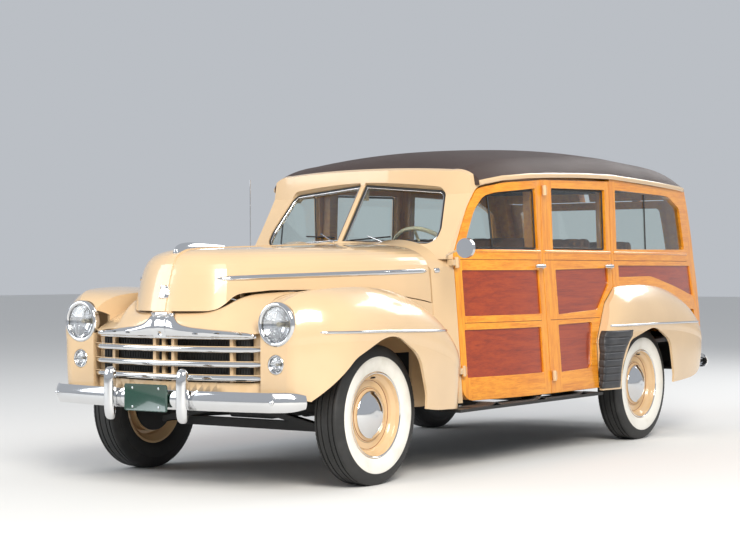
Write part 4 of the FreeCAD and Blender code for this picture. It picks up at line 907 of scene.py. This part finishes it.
def addBumper(end):
    word = "rearBumper" if end > 0 else "frontBumper"
    addBlade(end, word + ".blade")
    for side in (1, -1):
        addGuard(end, side, "%s.guard%d" % (word, side))
        addBracket(end, side, "%s.bracket%d" % (word, side))
        x, back = bumperLook["boltPlace"]
        turned("%s.bolt%d" % (word, side), "bumpers", "chrome", bumperLook["bolt"],
               bumperSpot(end, side * x, back, bumperLook["middle"]), (0, end, 0), 32)


# A blank plate with a raised rim. Rim rows: distance in, distance out. Screw rows: distance out, radius
plateLook = {
    "place": (0, -811, 455),
    "half": (140, 66),
    "corner": 12,
    "rim": [(0, -1), (0, 1), (1, 2), (5, 2), (6.5, 1)],
    "screwPlaces": [(-85, -46), (-85, 46), (85, -46), (85, 46)],
    "screw": [(-1, 6), (2, 6), (3.4, 4), (3.6, tipRadius)],
}


def addPlate():
    centre = spotAt(*plateLook["place"])
    wide, tall = plateLook["half"]
    corners = [(-wide, -tall), (wide, -tall), (wide, tall), (-wide, tall)]
    outline = roundedLine([(*corner, plateLook["corner"]) for corner in corners], 5)
    rings = []
    for inset, out in plateLook["rim"]:
        across, up = (wide - inset) / wide, (tall - inset) / tall
        rings.append([centre + Vector((row.x * across, -out, row.y * up)) / 1000 for row in outline])
    shape = bmesh.new()
    bridged(shape, rings)
    built(shape, "frontPlate", "bumpers", "plateGreen")
    shape = bmesh.new()
    for x, z in plateLook["screwPlaces"]:
        lathed(shape, plateLook["screw"], centre + Vector((x, -0.5, z)) / 1000, (0, -1, 0), 20)
    built(shape, "frontPlate.screws", "bumpers", "chrome")


addBumper(1)
addBumper(-1)
addPlate()
print("bumpers made")


# Grille: bars along an arc in plan, with a cream shelf over each. Bars: height, half length
grilleLook = {
    "bars": [(752, 516), (689, 538), (618, 542), (552, 542)],
    "barHalf": 14,
    "barDeep": 13,
    "barBack": 10,
    "barBehind": 11,
    "barEnds": {0: 0.5, 1: 0.8, 47: 0.8, 48: 0.5},
    "shelf": [(-12, 15), (9, 17), (9, 13.5), (-12, 13.5)],
    "front": -704,
    "bow": 112,
    "bowReach": 546,
    "fanFrom": 2000,
    "postHalf": 9,
    "postBehind": 22,
    "postDeep": 26,
    "postHeights": (526, 772),
    "cutHeights": (530.6, 768.4),
    "droppedPosts": (110, 220, 330, 440),
    "addedPosts": (60, 385),
}


def barStation(x):
    bow, reach = grilleLook["bow"], grilleLook["bowReach"]
    radius = (bow * bow + reach * reach) / (2 * bow)
    return grilleLook["front"] + radius - math.sqrt(radius * radius - x * x)


def addBars():
    half, deep, back = grilleLook["barHalf"], grilleLook["barDeep"], grilleLook["barBack"]
    angles = [step * math.pi / 16 for step in range(-8, 9)]
    section = [(deep * max(math.cos(angle), 0) ** 0.5, half * math.sin(angle)) for angle in angles]
    section += [(-back, half), (-back, -half)]
    fan = barStation(grilleLook["bowReach"]) + grilleLook["fanFrom"]
    chromeShape = bmesh.new()
    creamShape = bmesh.new()
    for height, reach in grilleLook["bars"]:
        rows = []
        for step in range(49):
            x = -reach + 2 * reach * step / 48
            spot = spotAt(x, barStation(x) + grilleLook["barBehind"], height)
            slope = Vector((x / 1000, -fan / 1000, 0)).normalized()
            rows.append((spot, slope, Vector((0, 0, 1)), grilleLook["barEnds"].get(step, 1)))
        swept(chromeShape, rows, section)
        swept(creamShape, [(spot, slope, up, 1) for spot, slope, up, size in rows], grilleLook["shelf"])
    bars = built(chromeShape, "grilleBars", "grille_bars", "chrome", 50)
    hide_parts("grille_bars")
    built(creamShape, "grilleShelves", "grille_bars", "creamPaint", 50)


# A block at a post's place on both sides, or a wider one that cuts the post away
def addPosts(shape, x, spare, heights):
    half, deep = grilleLook["postHalf"] + spare, grilleLook["postDeep"] + 2 * spare
    front = barStation(x + grilleLook["postHalf"]) + grilleLook["postBehind"]
    for side in (1, -1):
        blocked(shape, spotAt(side * x - half, front - 2 * spare, heights[0]),
                spotAt(side * x + half, front + deep, heights[1]))


# The grille panel with fewer posts between the bars
def addGrillePanel():
    cutter = bmesh.new()
    for x in grilleLook["droppedPosts"]:
        addPosts(cutter, x, 1, grilleLook["cutHeights"])
    cutPiece = linked("cutter", meshFrom(cutter, "cutter"))
    shape = bmesh.new()
    shape.from_mesh(nodes["grille_panel"].data)
    bmesh.ops.remove_doubles(shape, verts=shape.verts, dist=0.00002)
    piece = pieceFrom(shape, "grillePanel", "grille_panel", "creamPaint")
    cut = piece.modifiers.new("cut", "BOOLEAN")
    cut.operation = "DIFFERENCE"
    cut.solver = "EXACT"
    cut.object = cutPiece
    shape = evaluated(piece)
    piece.modifiers.remove(cut)
    shape.to_mesh(piece.data)
    shape.free()
    bpy.data.objects.remove(cutPiece)
    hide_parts("grille_panel")
    shape = bmesh.new()
    for x in grilleLook["addedPosts"]:
        addPosts(shape, x, 0, grilleLook["postHeights"])
    built(shape, "grillePosts", "grille_panel", "creamPaint")


# Dark core with upright fins behind the grille
coreLook = {"half": 476, "front": -596, "back": -586, "low": 480, "high": 766, "fins": 56, "finHalf": 1.5,
            "finProud": 4, "margin": 8, "topMargin": 4}


def addCore():
    half, front, low, high = (coreLook[key] for key in ("half", "front", "low", "high"))
    first, margin, thin = -half + coreLook["margin"], coreLook["topMargin"], coreLook["finHalf"]
    shape = bmesh.new()
    blocked(shape, spotAt(-half, front, low), spotAt(half, coreLook["back"], high))
    for index in range(coreLook["fins"]):
        x = first - 2 * first * index / (coreLook["fins"] - 1)
        blocked(shape, spotAt(x - thin, front - coreLook["finProud"], low + margin),
                spotAt(x + thin, front + 1, high - margin))
    built(shape, "radiatorCore", "grille_panel", "blackSteel")


addBars()
addGrillePanel()
addCore()


# Crest over the grille: wings that rise to a shield in the middle. Top rows: distance, upper height.
# Columns: distances at which the wings are cut, up to where even steps begin
crestLook = {
    "top": [(0, 867), (60, 867), (72, 860), (82, 842), (100, 822), (130, 808), (180, 798), (300, 787),
            (430, 778), (512, 766)],
    "bottom": 746,
    "columns": [0, 12, 24, 34, 38, 46, 56, 64, 70, 76, 84, 94, 106, 122],
    "end": 512,
    "roundEnd": 8,
    "deep": 14,
    "recess": (34, 46, 7),
    "sheet": 3,
}


def addCrest():
    skin = Skin("grille_panel", "hood", "grille_bars")
    inner, outer, sunk = crestLook["recess"]
    end, roundEnd = crestLook["end"], crestLook["roundEnd"]
    distances = list(crestLook["columns"])
    distances += [distances[-1] + (end - distances[-1]) * step / 24 for step in range(1, 24)]
    distances += [end - 6, end - 2, end]
    rings = []
    for x in [-x for x in reversed(distances[1:])] + distances:
        low, top = crestLook["bottom"], valueAlong(crestLook["top"], abs(x))
        middle, half, left = (low + top) / 2, (top - low) / 2, end - abs(x)
        if left < roundEnd:
            half *= 0.35 + 0.65 * math.sqrt(max(left, 0) / roundEnd)
        dip = sunk * min(max((outer - abs(x)) / (outer - inner), 0), 1)
        front, back = [], []
        for step in range(13):
            turn = -1 + step / 6
            height = middle + half * turn
            hit = skin.front(x, height)
            base = hit[0].y if hit else spotAt(x, barStation(x), height).y
            bulge = max(1 - turn * turn, 0) ** 0.42 * crestLook["deep"] * min(1, 0.45 + left / 60)
            flat = dip * max(1 - abs(turn) ** 6, 0)
            front.append(Vector((x, base * 1000 - bulge + flat, height)) / 1000)
            back.append(Vector((x, base * 1000 + crestLook["sheet"], height)) / 1000)
        rings.append(front + list(reversed(back)))
    shape = bmesh.new()
    bridged(shape, rings)
    built(shape, "crest", "grille_panel", "chrome", 50)


# Bright strips along the sides: node, depth, height, length of a thin end, line as station and height
stripLook = {
    "spear": ("hood", 9, 27, 70, [(-565, 1031), (-300, 1041), (0, 1050), (350, 1059), (690, 1068)]),
    "cowlSpear": ("cowl", 9, 27, 8, [(737, 1069), (776, 1070)]),
    "fenderStripFront": ("front_fenders", 7, 14, 40, [(-513, 776), (-100, 772), (300, 762), (560, 757)]),
    "fenderStripRear": ("rear_fenders", 7, 14, 40, [(2300, 731), (2900, 733), (3660, 726)]),
}
# Hood ornament rows: station, half width, height. Emblem outline rows: distance, height, corner radius
noseLook = {
    "ornament": [(-600, 18, 34), (-560, 26, 38), (-480, 20, 32), (-380, 13, 22), (-280, 8, 13), (-200, 4, 5)],
    "ornamentSunk": 6,
    "emblem": [(-34, 937, 9), (34, 937, 9), (25, 1001, 7), (-25, 1001, 7)],
    "emblemThick": 9,
    "emblemRounding": 4,
}


def addOrnament():
    skin = Skin("hood")
    rings = []
    for station, halfWidth, tall in noseLook["ornament"]:
        base = skin.top(0, station)[0].z * 1000
        ring = []
        for step in range(16):
            c, s = math.cos(2 * math.pi * step / 16), math.sin(2 * math.pi * step / 16)
            rise = (tall if s > 0 else noseLook["ornamentSunk"]) * s
            ring.append(spotAt(halfWidth * c * (1 - 0.45 * max(s, 0)), station, base + rise))
        rings.append(ring)
    shape = bmesh.new()
    bridged(shape, rings)
    subdivided(built(shape, "hoodOrnament", "hood", "chrome", 60), 2)


# A plate cut to an outline in front view and laid on the hood behind it
def addEmblem():
    skin = Skin("hood")
    shape = bmesh.new()
    outline = roundedLine(noseLook["emblem"], 4)
    face = shape.faces.new([shape.verts.new(spotAt(row.x, 0, row.y)) for row in outline])
    bmesh.ops.inset_region(shape, faces=[face], thickness=noseLook["emblemRounding"] / 1000, depth=0)
    bmesh.ops.triangulate(shape, faces=shape.faces[:])
    long = [edge for edge in shape.edges if edge.calc_length() > 0.03]
    bmesh.ops.subdivide_edges(shape, edges=long, cuts=3, use_grid_fill=True)
    for vertex in shape.verts:
        station = skin.front(vertex.co.x * 1000, vertex.co.z * 1000)[0].y
        vertex.co.y = station - (1 if vertex.is_boundary else 1 + noseLook["emblemThick"]) / 1000
    wall = bmesh.ops.extrude_edge_only(shape, edges=[edge for edge in shape.edges if edge.is_boundary])
    for item in wall["geom"]:
        if isinstance(item, bmesh.types.BMVert):
            item.co.y += 0.003
    built(shape, "hoodEmblem", "hood", "chrome", 40)


addCrest()
for side in (1, -1):
    for name, (node, depth, tall, taper, rows) in stripLook.items():
        addSideStrip(perSide(name, side), node, rows, side, depth, tall, taper)
addOrnament()
addEmblem()
print("bright trim made")


# Gravel shields on the rear fenders, wrapped round the corner, with ribs across.
# Edge rows: height, last station. Shape of one rib: share of the pitch, share of its depth
shieldLook = {
    "search": (2200, 2400, 3),
    "edge": [(355, 2452), (450, 2455), (520, 2470), (580, 2500), (630, 2540), (668, 2584), (702, 2588)],
    "ribs": 8,
    "shape": [(0, 0), (0.05, 0), (0.10, 0.7), (0.25, 0.92), (0.5, 1), (0.75, 0.92), (0.90, 0.7), (0.95, 0)],
    "base": 1.5,
    "rib": 7,
    "sheet": 1.2,
    "wallInsets": (36, 27, 18, 12, 7),
    "wallShare": 0.6,
    "cornerShifts": (-6, -3, 0, 3),
    "spread": 1.6,
    "rimLift": 0.4,
}


def addShield(side):
    skin = Skin("rear_fenders")
    low, high = shieldLook["edge"][0][0], shieldLook["edge"][-1][0]
    slant = Vector((-side, 1, 0)).normalized()
    flank = Vector((side, 1, 0)).normalized()
    pitch = (high - low) / shieldLook["ribs"]
    levels = [(low + (rib + part) * pitch, share) for rib in range(shieldLook["ribs"])
              for part, share in shieldLook["shape"]] + [(high, 0)]
    rows = []
    for height, share in levels:
        reach = valueAlong(shieldLook["edge"], height)
        start = next(spot for spot in range(*shieldLook["search"]) if skin.side(spot, height, side)) + 3
        edge = skin.side(start, height, side)
        lift = (shieldLook["base"] + shieldLook["rib"] * share) / 1000
        row = []
        for inset in shieldLook["wallInsets"]:
            aim = spotAt(side * (abs(edge[0].x) * 1000 - inset), 1500, height)
            wall = skin.hit(aim, Vector((0, 1, 0))) or edge
            row.append(wall[0] + wall[1] * lift * shieldLook["wallShare"])
        for shift in shieldLook["cornerShifts"]:
            corner = skin.hit(edge[0] + flank * shift / 1000 - slant, slant) or edge
            row.append(corner[0] + corner[1] * lift)
        for index in range(13):
            hit = skin.side(start + (reach - start) * (index / 12) ** shieldLook["spread"], height, side)
            rise = shieldLook["rimLift"] / 1000 if index == 12 else lift
            row.append(hit[0] + hit[1] * rise if hit else None)
        if all(row):
            rows.append(row)
    shape = bmesh.new()
    bridged(shape, rows, False)
    piece = built(shape, perSide("gravelShield", side), "rear_fenders", "shieldRubber", 60)
    sheet = piece.modifiers.new("sheet", "SOLIDIFY")
    sheet.thickness = shieldLook["sheet"] / 1000
    sheet.offset = -1


# Rubber ribs along the running boards. Section rows: distance up, distance across
boardLook = {
    "stations": (760, 2261, 50),
    "search": (600, 960, 4),
    "level": 400,
    "margins": (14, 16),
    "ribs": 9,
    "section": [(-1, -6), (2, -5.5), (3, -4), (3, 4), (2, 5.5), (-1, 6)],
}


def addBoard(side):
    skin = Skin("running_boards")
    spans = []
    for station in range(*boardLook["stations"]):
        hits = [(x, skin.top(side * x, station)) for x in range(*boardLook["search"])]
        flat = [x for x, hit in hits if hit and hit[0].z * 1000 < boardLook["level"]]
        if flat:
            top = skin.top(side * (flat[0] + flat[-1]) / 2, station)[0].z * 1000
            spans.append((station, flat[0], flat[-1], top))
    first = max(span[1] for span in spans) + boardLook["margins"][0]
    last = min(span[2] for span in spans) - boardLook["margins"][1]
    shape = bmesh.new()
    for index in range(boardLook["ribs"]):
        x = first + (last - first) * index / (boardLook["ribs"] - 1)
        path = [(spotAt(side * x, station, top), Vector((0, 0, 1)), Vector((1, 0, 0)), 1)
                for station, inner, outer, top in spans]
        swept(shape, path, boardLook["section"])
    built(shape, perSide("boardRibs", side), "running_boards", "blackRubber", 40)


for side in (1, -1):
    addShield(side)
    addBoard(side)
print("shields and boards made")


# Windscreen: a rubber and a bright ring round each pane, and wipers.
# Pane rows: distance, height, corner radius. Rings: name, distance in, width, depth, finish.
# Wipers: pivot, elbow and the blade's two ends as distance and height
screenLook = {
    "foot": (796, 1243),
    "slope": (0.160, 0.719),
    "pane": [(16, 1236, 4), (16, 1564, 6), (530, 1520, 60), (592, 1300, 60), (588, 1213, 50)],
    "paneMiddle": (300, 1390),
    "glassDepth": 14,
    "rings": [("screenRubber", 5, 14, 9, "blackRubber"), ("screenRing", 15, 7, 6, "chrome")],
    "wipers": [((330, 1205), (165, 1262), (60, 1244), (300, 1262)),
               ((-40, 1228), (-170, 1280), (-60, 1262), (-290, 1272))],
}


# A point of the windscreen at a depth behind its face, and the direction out of it
def screenSpot(x, height, depth, side=1):
    lean, rake = screenLook["slope"]
    station, foot = screenLook["foot"]
    out = Vector((lean * side, -1, rake)).normalized()
    return spotAt(side * x, station + lean * x + rake * (height - foot), height) - out * depth / 1000, out


def addScreenRings(side):
    line = roundedLine(screenLook["pane"], 8)
    centre = screenSpot(*screenLook["paneMiddle"], 0, side)[0]
    rows = [screenSpot(row.x, row.y, screenLook["glassDepth"], side) + (1,) for row in line]
    flow = (rows[1][0] - rows[0][0]).normalized()
    inward = 1 if rows[0][1].cross(flow).dot(centre - rows[0][0]) > 0 else -1
    for name, inset, tall, depth, finish in screenLook["rings"]:
        shape = bmesh.new()
        stripped(shape, rows, [(a, (b + inset) * inward) for a, b in halfRound(depth, tall, 1)], True)
        built(shape, perSide(name, side), "fixed_glass", finish, 50)


# Rods of each wiper's arm and blade: first end, its depth, second end, its depth, radius
wiperLook = {
    "arm": [("pivot", 26, "pivot", -16, 9), ("pivot", -12, "elbow", -2, 3.2)],
    "blade": [("tipA", 6, "tipB", 6, 3.4), ("tipA", 11, "tipB", 11, 1.8), ("elbow", -3, "elbow", 8, 3)],
}


def addWipers():
    for index, spots in enumerate(screenLook["wipers"]):
        places = dict(zip(("pivot", "elbow", "tipA", "tipB"), spots))
        side = 1 if spots[0][0] > 0 else -1

        def at(place, depth):
            return screenSpot(abs(places[place][0]), places[place][1], depth, side)[0]

        for name, part, finish in (("wiperArm", "arm", "chrome"), ("wiperBlade", "blade", "blackRubber")):
            shape = bmesh.new()
            for first, firstDepth, last, lastDepth, radius in wiperLook[part]:
                rodded(shape, at(first, firstDepth), at(last, lastDepth), radius)
            built(shape, "%s%d" % (name, index), "cowl", finish, 50)


for side in (1, -1):
    addScreenRings(side)
addWipers()


# Mouldings along the sides: rail under the roof, belt under the windows and thin dark seams.
# Rail rows: station, height. Belt rows: node, finish, start, end, end of the middle seam.
# Sizes: depth, height, length of a thin end
sideLook = {
    "rail": [(968, 1516), (1000, 1525), (1150, 1560), (1300, 1586), (1550, 1608), (1800, 1622), (2180, 1637),
             (2550, 1644), (3150, 1629), (3600, 1616), (3735, 1609)],
    "belt": [("door_front_%s_frame", "maple_door_front", 905, 1660, 1620),
             ("door_rear_%s_frame", "maple_door_rear", 1700, 2530, 2330),
             ("body_frame", "maple_body_frame", 2570, 3760, None)],
    "beltHeight": 1177,
    "seam": 1128,
    "middleSeam": 782,
    "railSize": (6, 29, 20),
    "beltSize": (7, 16, 8),
    "seamSize": (0.7, 3, 3),
}


def nodeName(pattern, side):
    return pattern % sideWord(side) if "%s" in pattern else pattern


def addRails(side):
    rail, size = sideLook["rail"], sideLook["railSize"]
    addSideStrip(perSide("roofRail", side), "roof", rail, side, *size, "creamPaint")
    for pattern, finish, start, end, seamEnd in sideLook["belt"]:
        node = nodeName(pattern, side)
        label = "%s_%d" % (sideWord(side).title(), start)
        rows = [(start, sideLook["beltHeight"]), (end, sideLook["beltHeight"])]
        addSideStrip("belt_" + label, node, rows, side, *sideLook["beltSize"], finish)
        seams = [("seam_", start + 4, end - 4, sideLook["seam"])]
        if seamEnd:
            seams.append(("midSeam_", start + 24, seamEnd, sideLook["middleSeam"]))
        for name, first, last, height in seams:
            rows = [(first, height), (last, height)]
            addSideStrip(name + label, node, rows, side, *sideLook["seamSize"], "woodSeam")


for side in (1, -1):
    addRails(side)
print("screen and mouldings made")


# Rubber channel round the side glass. Rows: station, height, corner radius
channelLook = {
    "door_front_%s_glass": [(972, 1190, 6), (1092, 1402, 20), (1174, 1480, 20), (1262, 1500, 10),
                            (1608, 1532, 16), (1628, 1190, 16)],
    "door_rear_%s_glass": [(1812, 1194, 16), (1812, 1543, 16), (2472, 1556, 16), (2472, 1194, 16)],
}
# Upright bars across the glass: node, station, lower and upper height
windowBars = [("door_front_%s_glass", 1212, 1192, 1484), ("fixed_glass", 3070, 1203, 1552)]
paneLook = {"channelDepth": 5, "channelSize": 0.985, "barDepth": 7, "wide": 13, "sunk": 0.5}


# A rubber strip along stations and heights of a pane
def addPaneStrip(name, node, spots, side, depth, closed=False):
    skin = Skin(node)
    hits = [skin.side(station, height, side) for station, height in spots]
    rows = [(hit[0], hit[1].normalized(), 1) for hit in hits if hit]
    shape = bmesh.new()
    stripped(shape, rows, halfRound(depth, paneLook["wide"], paneLook["sunk"]), closed)
    built(shape, name, node, "blackRubber", 50)


for side in (1, -1):
    for pattern, outline in channelLook.items():
        node = nodeName(pattern, side)
        line = roundedLine(outline, 5)
        middle = sum(line, Vector((0, 0))) / len(line)
        spots = [middle + (row - middle) * paneLook["channelSize"] for row in line]
        addPaneStrip(node + ".channel", node, spots, side, paneLook["channelDepth"], True)
    for pattern, station, low, high in windowBars:
        node = nodeName(pattern, side)
        spots = [(station, low + (high - low) * step / 8) for step in range(9)]
        addPaneStrip("%s.bar_%s" % (node, sideWord(side)), node, spots, side, paneLook["barDepth"])


# Wooden frames with rounded edges. Metal patches keep their own finish: middle station, height, half length,
# half height, finish, and the station and height where the wood's face is measured
frameLook = {
    "rounding": 0.0035,
    "sharpFrom": 40,
    "front": [(1600, 1092, 75, 28, "chrome", (1610, 1132)), (880, 525, 30, 48, "creamPaint", (940, 450)),
              (880, 1112, 30, 48, "creamPaint", (940, 1112))],
    "rear": [(2450, 1092, 75, 28, "chrome", (2460, 1132)), (1697, 463, 30, 48, "creamPaint", (1740, 450)),
             (1697, 1530, 30, 48, "creamPaint", (1740, 1560))],
}


# A copy of a CAD node with its doubles merged and its edges rounded
def addFrame(node, finish, patches=()):
    angle = frameLook["sharpFrom"]
    shape = bmesh.new()
    shape.from_mesh(nodes[node].data)
    bmesh.ops.remove_doubles(shape, verts=shape.verts, dist=0.00002)
    bmesh.ops.dissolve_limit(shape, angle_limit=math.radians(0.6), verts=shape.verts, edges=shape.edges)
    piece = pieceFrom(shape, node + ".dressed", node, finish, angle)
    bevel = piece.modifiers.new("roundedEdges", "BEVEL")
    bevel.width = frameLook["rounding"]
    bevel.segments = 2
    bevel.limit_method = "ANGLE"
    bevel.angle_limit = math.radians(angle)
    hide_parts(node)
    skin, mesh = Skin(node), piece.data
    side = 1 if sum(vertex.co.x for vertex in mesh.vertices) > 0 else -1
    for middle, height, halfLength, halfHeight, patch, spot in patches:
        wall = abs(skin.side(*spot, side)[0].x) + 0.0005
        index = len(mesh.materials)
        mesh.materials.append(finishes[patch])
        for face in mesh.polygons:
            corners = [mesh.vertices[corner].co for corner in face.vertices]
            near = all(abs((corner.y - axleY) * 1000 - middle) < halfLength for corner in corners)
            level = all(abs(corner.z * 1000 - height) < halfHeight for corner in corners)
            if near and level and abs(face.center.x) > wall:
                face.material_index = index


for side in (1, -1):
    for end in ("front", "rear"):
        addFrame("door_%s_%s_frame" % (end, sideWord(side)), "maple_door_" + end, frameLook[end])
addFrame("body_frame", "maple_body_frame")
addFrame("tailgate_frame", "maple_gates")
addFrame("liftgate_frame", "maple_gates")
print("frames rounded")


# Seats: padded and pleated, in metres
seatLook = {"voxel": 0.012, "smooth": 9, "pleat": 0.105, "groove": 0.006, "grooveHalf": 0.016, "fill": 0.6}


def addSeats():
    mesh = nodes["seats"].data.copy()
    piece = linked("seatPads", mesh)
    grid = piece.modifiers.new("grid", "REMESH")
    grid.mode = "VOXEL"
    grid.voxel_size = seatLook["voxel"]
    shape = evaluated(piece)
    piece.modifiers.remove(grid)
    for turn in range(seatLook["smooth"]):
        bmesh.ops.smooth_vert(shape, verts=shape.verts, factor=0.5, use_axis_x=True, use_axis_y=True,
                              use_axis_z=True)
    shape.normal_update()
    pleat = seatLook["pleat"]
    for vertex in shape.verts:
        if max(abs(vertex.normal.y), abs(vertex.normal.z)) > 0.6:
            phase = (vertex.co.x / pleat) % 1
            groove = max(1 - abs(phase - 0.5) * pleat / seatLook["grooveHalf"], 0)
            vertex.co -= vertex.normal * (seatLook["groove"] * groove)
    shape.to_mesh(mesh)
    shape.free()
    mesh.materials.clear()
    mesh.materials.append(finishes["leather"])
    finishPiece(piece, "seats", 70)
    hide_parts("seats")


addSeats()
print("seats padded")


def addFloor():
    shape = bmesh.new()
    bmesh.ops.create_grid(shape, x_segments=1, y_segments=1, size=60)
    floor = linked("floor", meshFrom(shape, "floor"))
    ground = Finish("floorPale")
    floor.data.materials.append(ground.set(colour=(0.74, 0.735, 0.72), rough=0.9))


def setWorld():
    world = bpy.data.worlds.new("studio")
    bpy.context.scene.world = world
    world.use_nodes = True
    background = world.node_tree.nodes["Background"]
    background.inputs[0].default_value = (0.80, 0.84, 0.90, 1)
    background.inputs[1].default_value = 0.62


addFloor()
setWorld()
for name, values in lightLook.items():
    areaLight(name, *values)
setCamera(cameraSpot)
bpy.context.scene.view_settings.view_transform = "Standard"
print("camera and lights set")
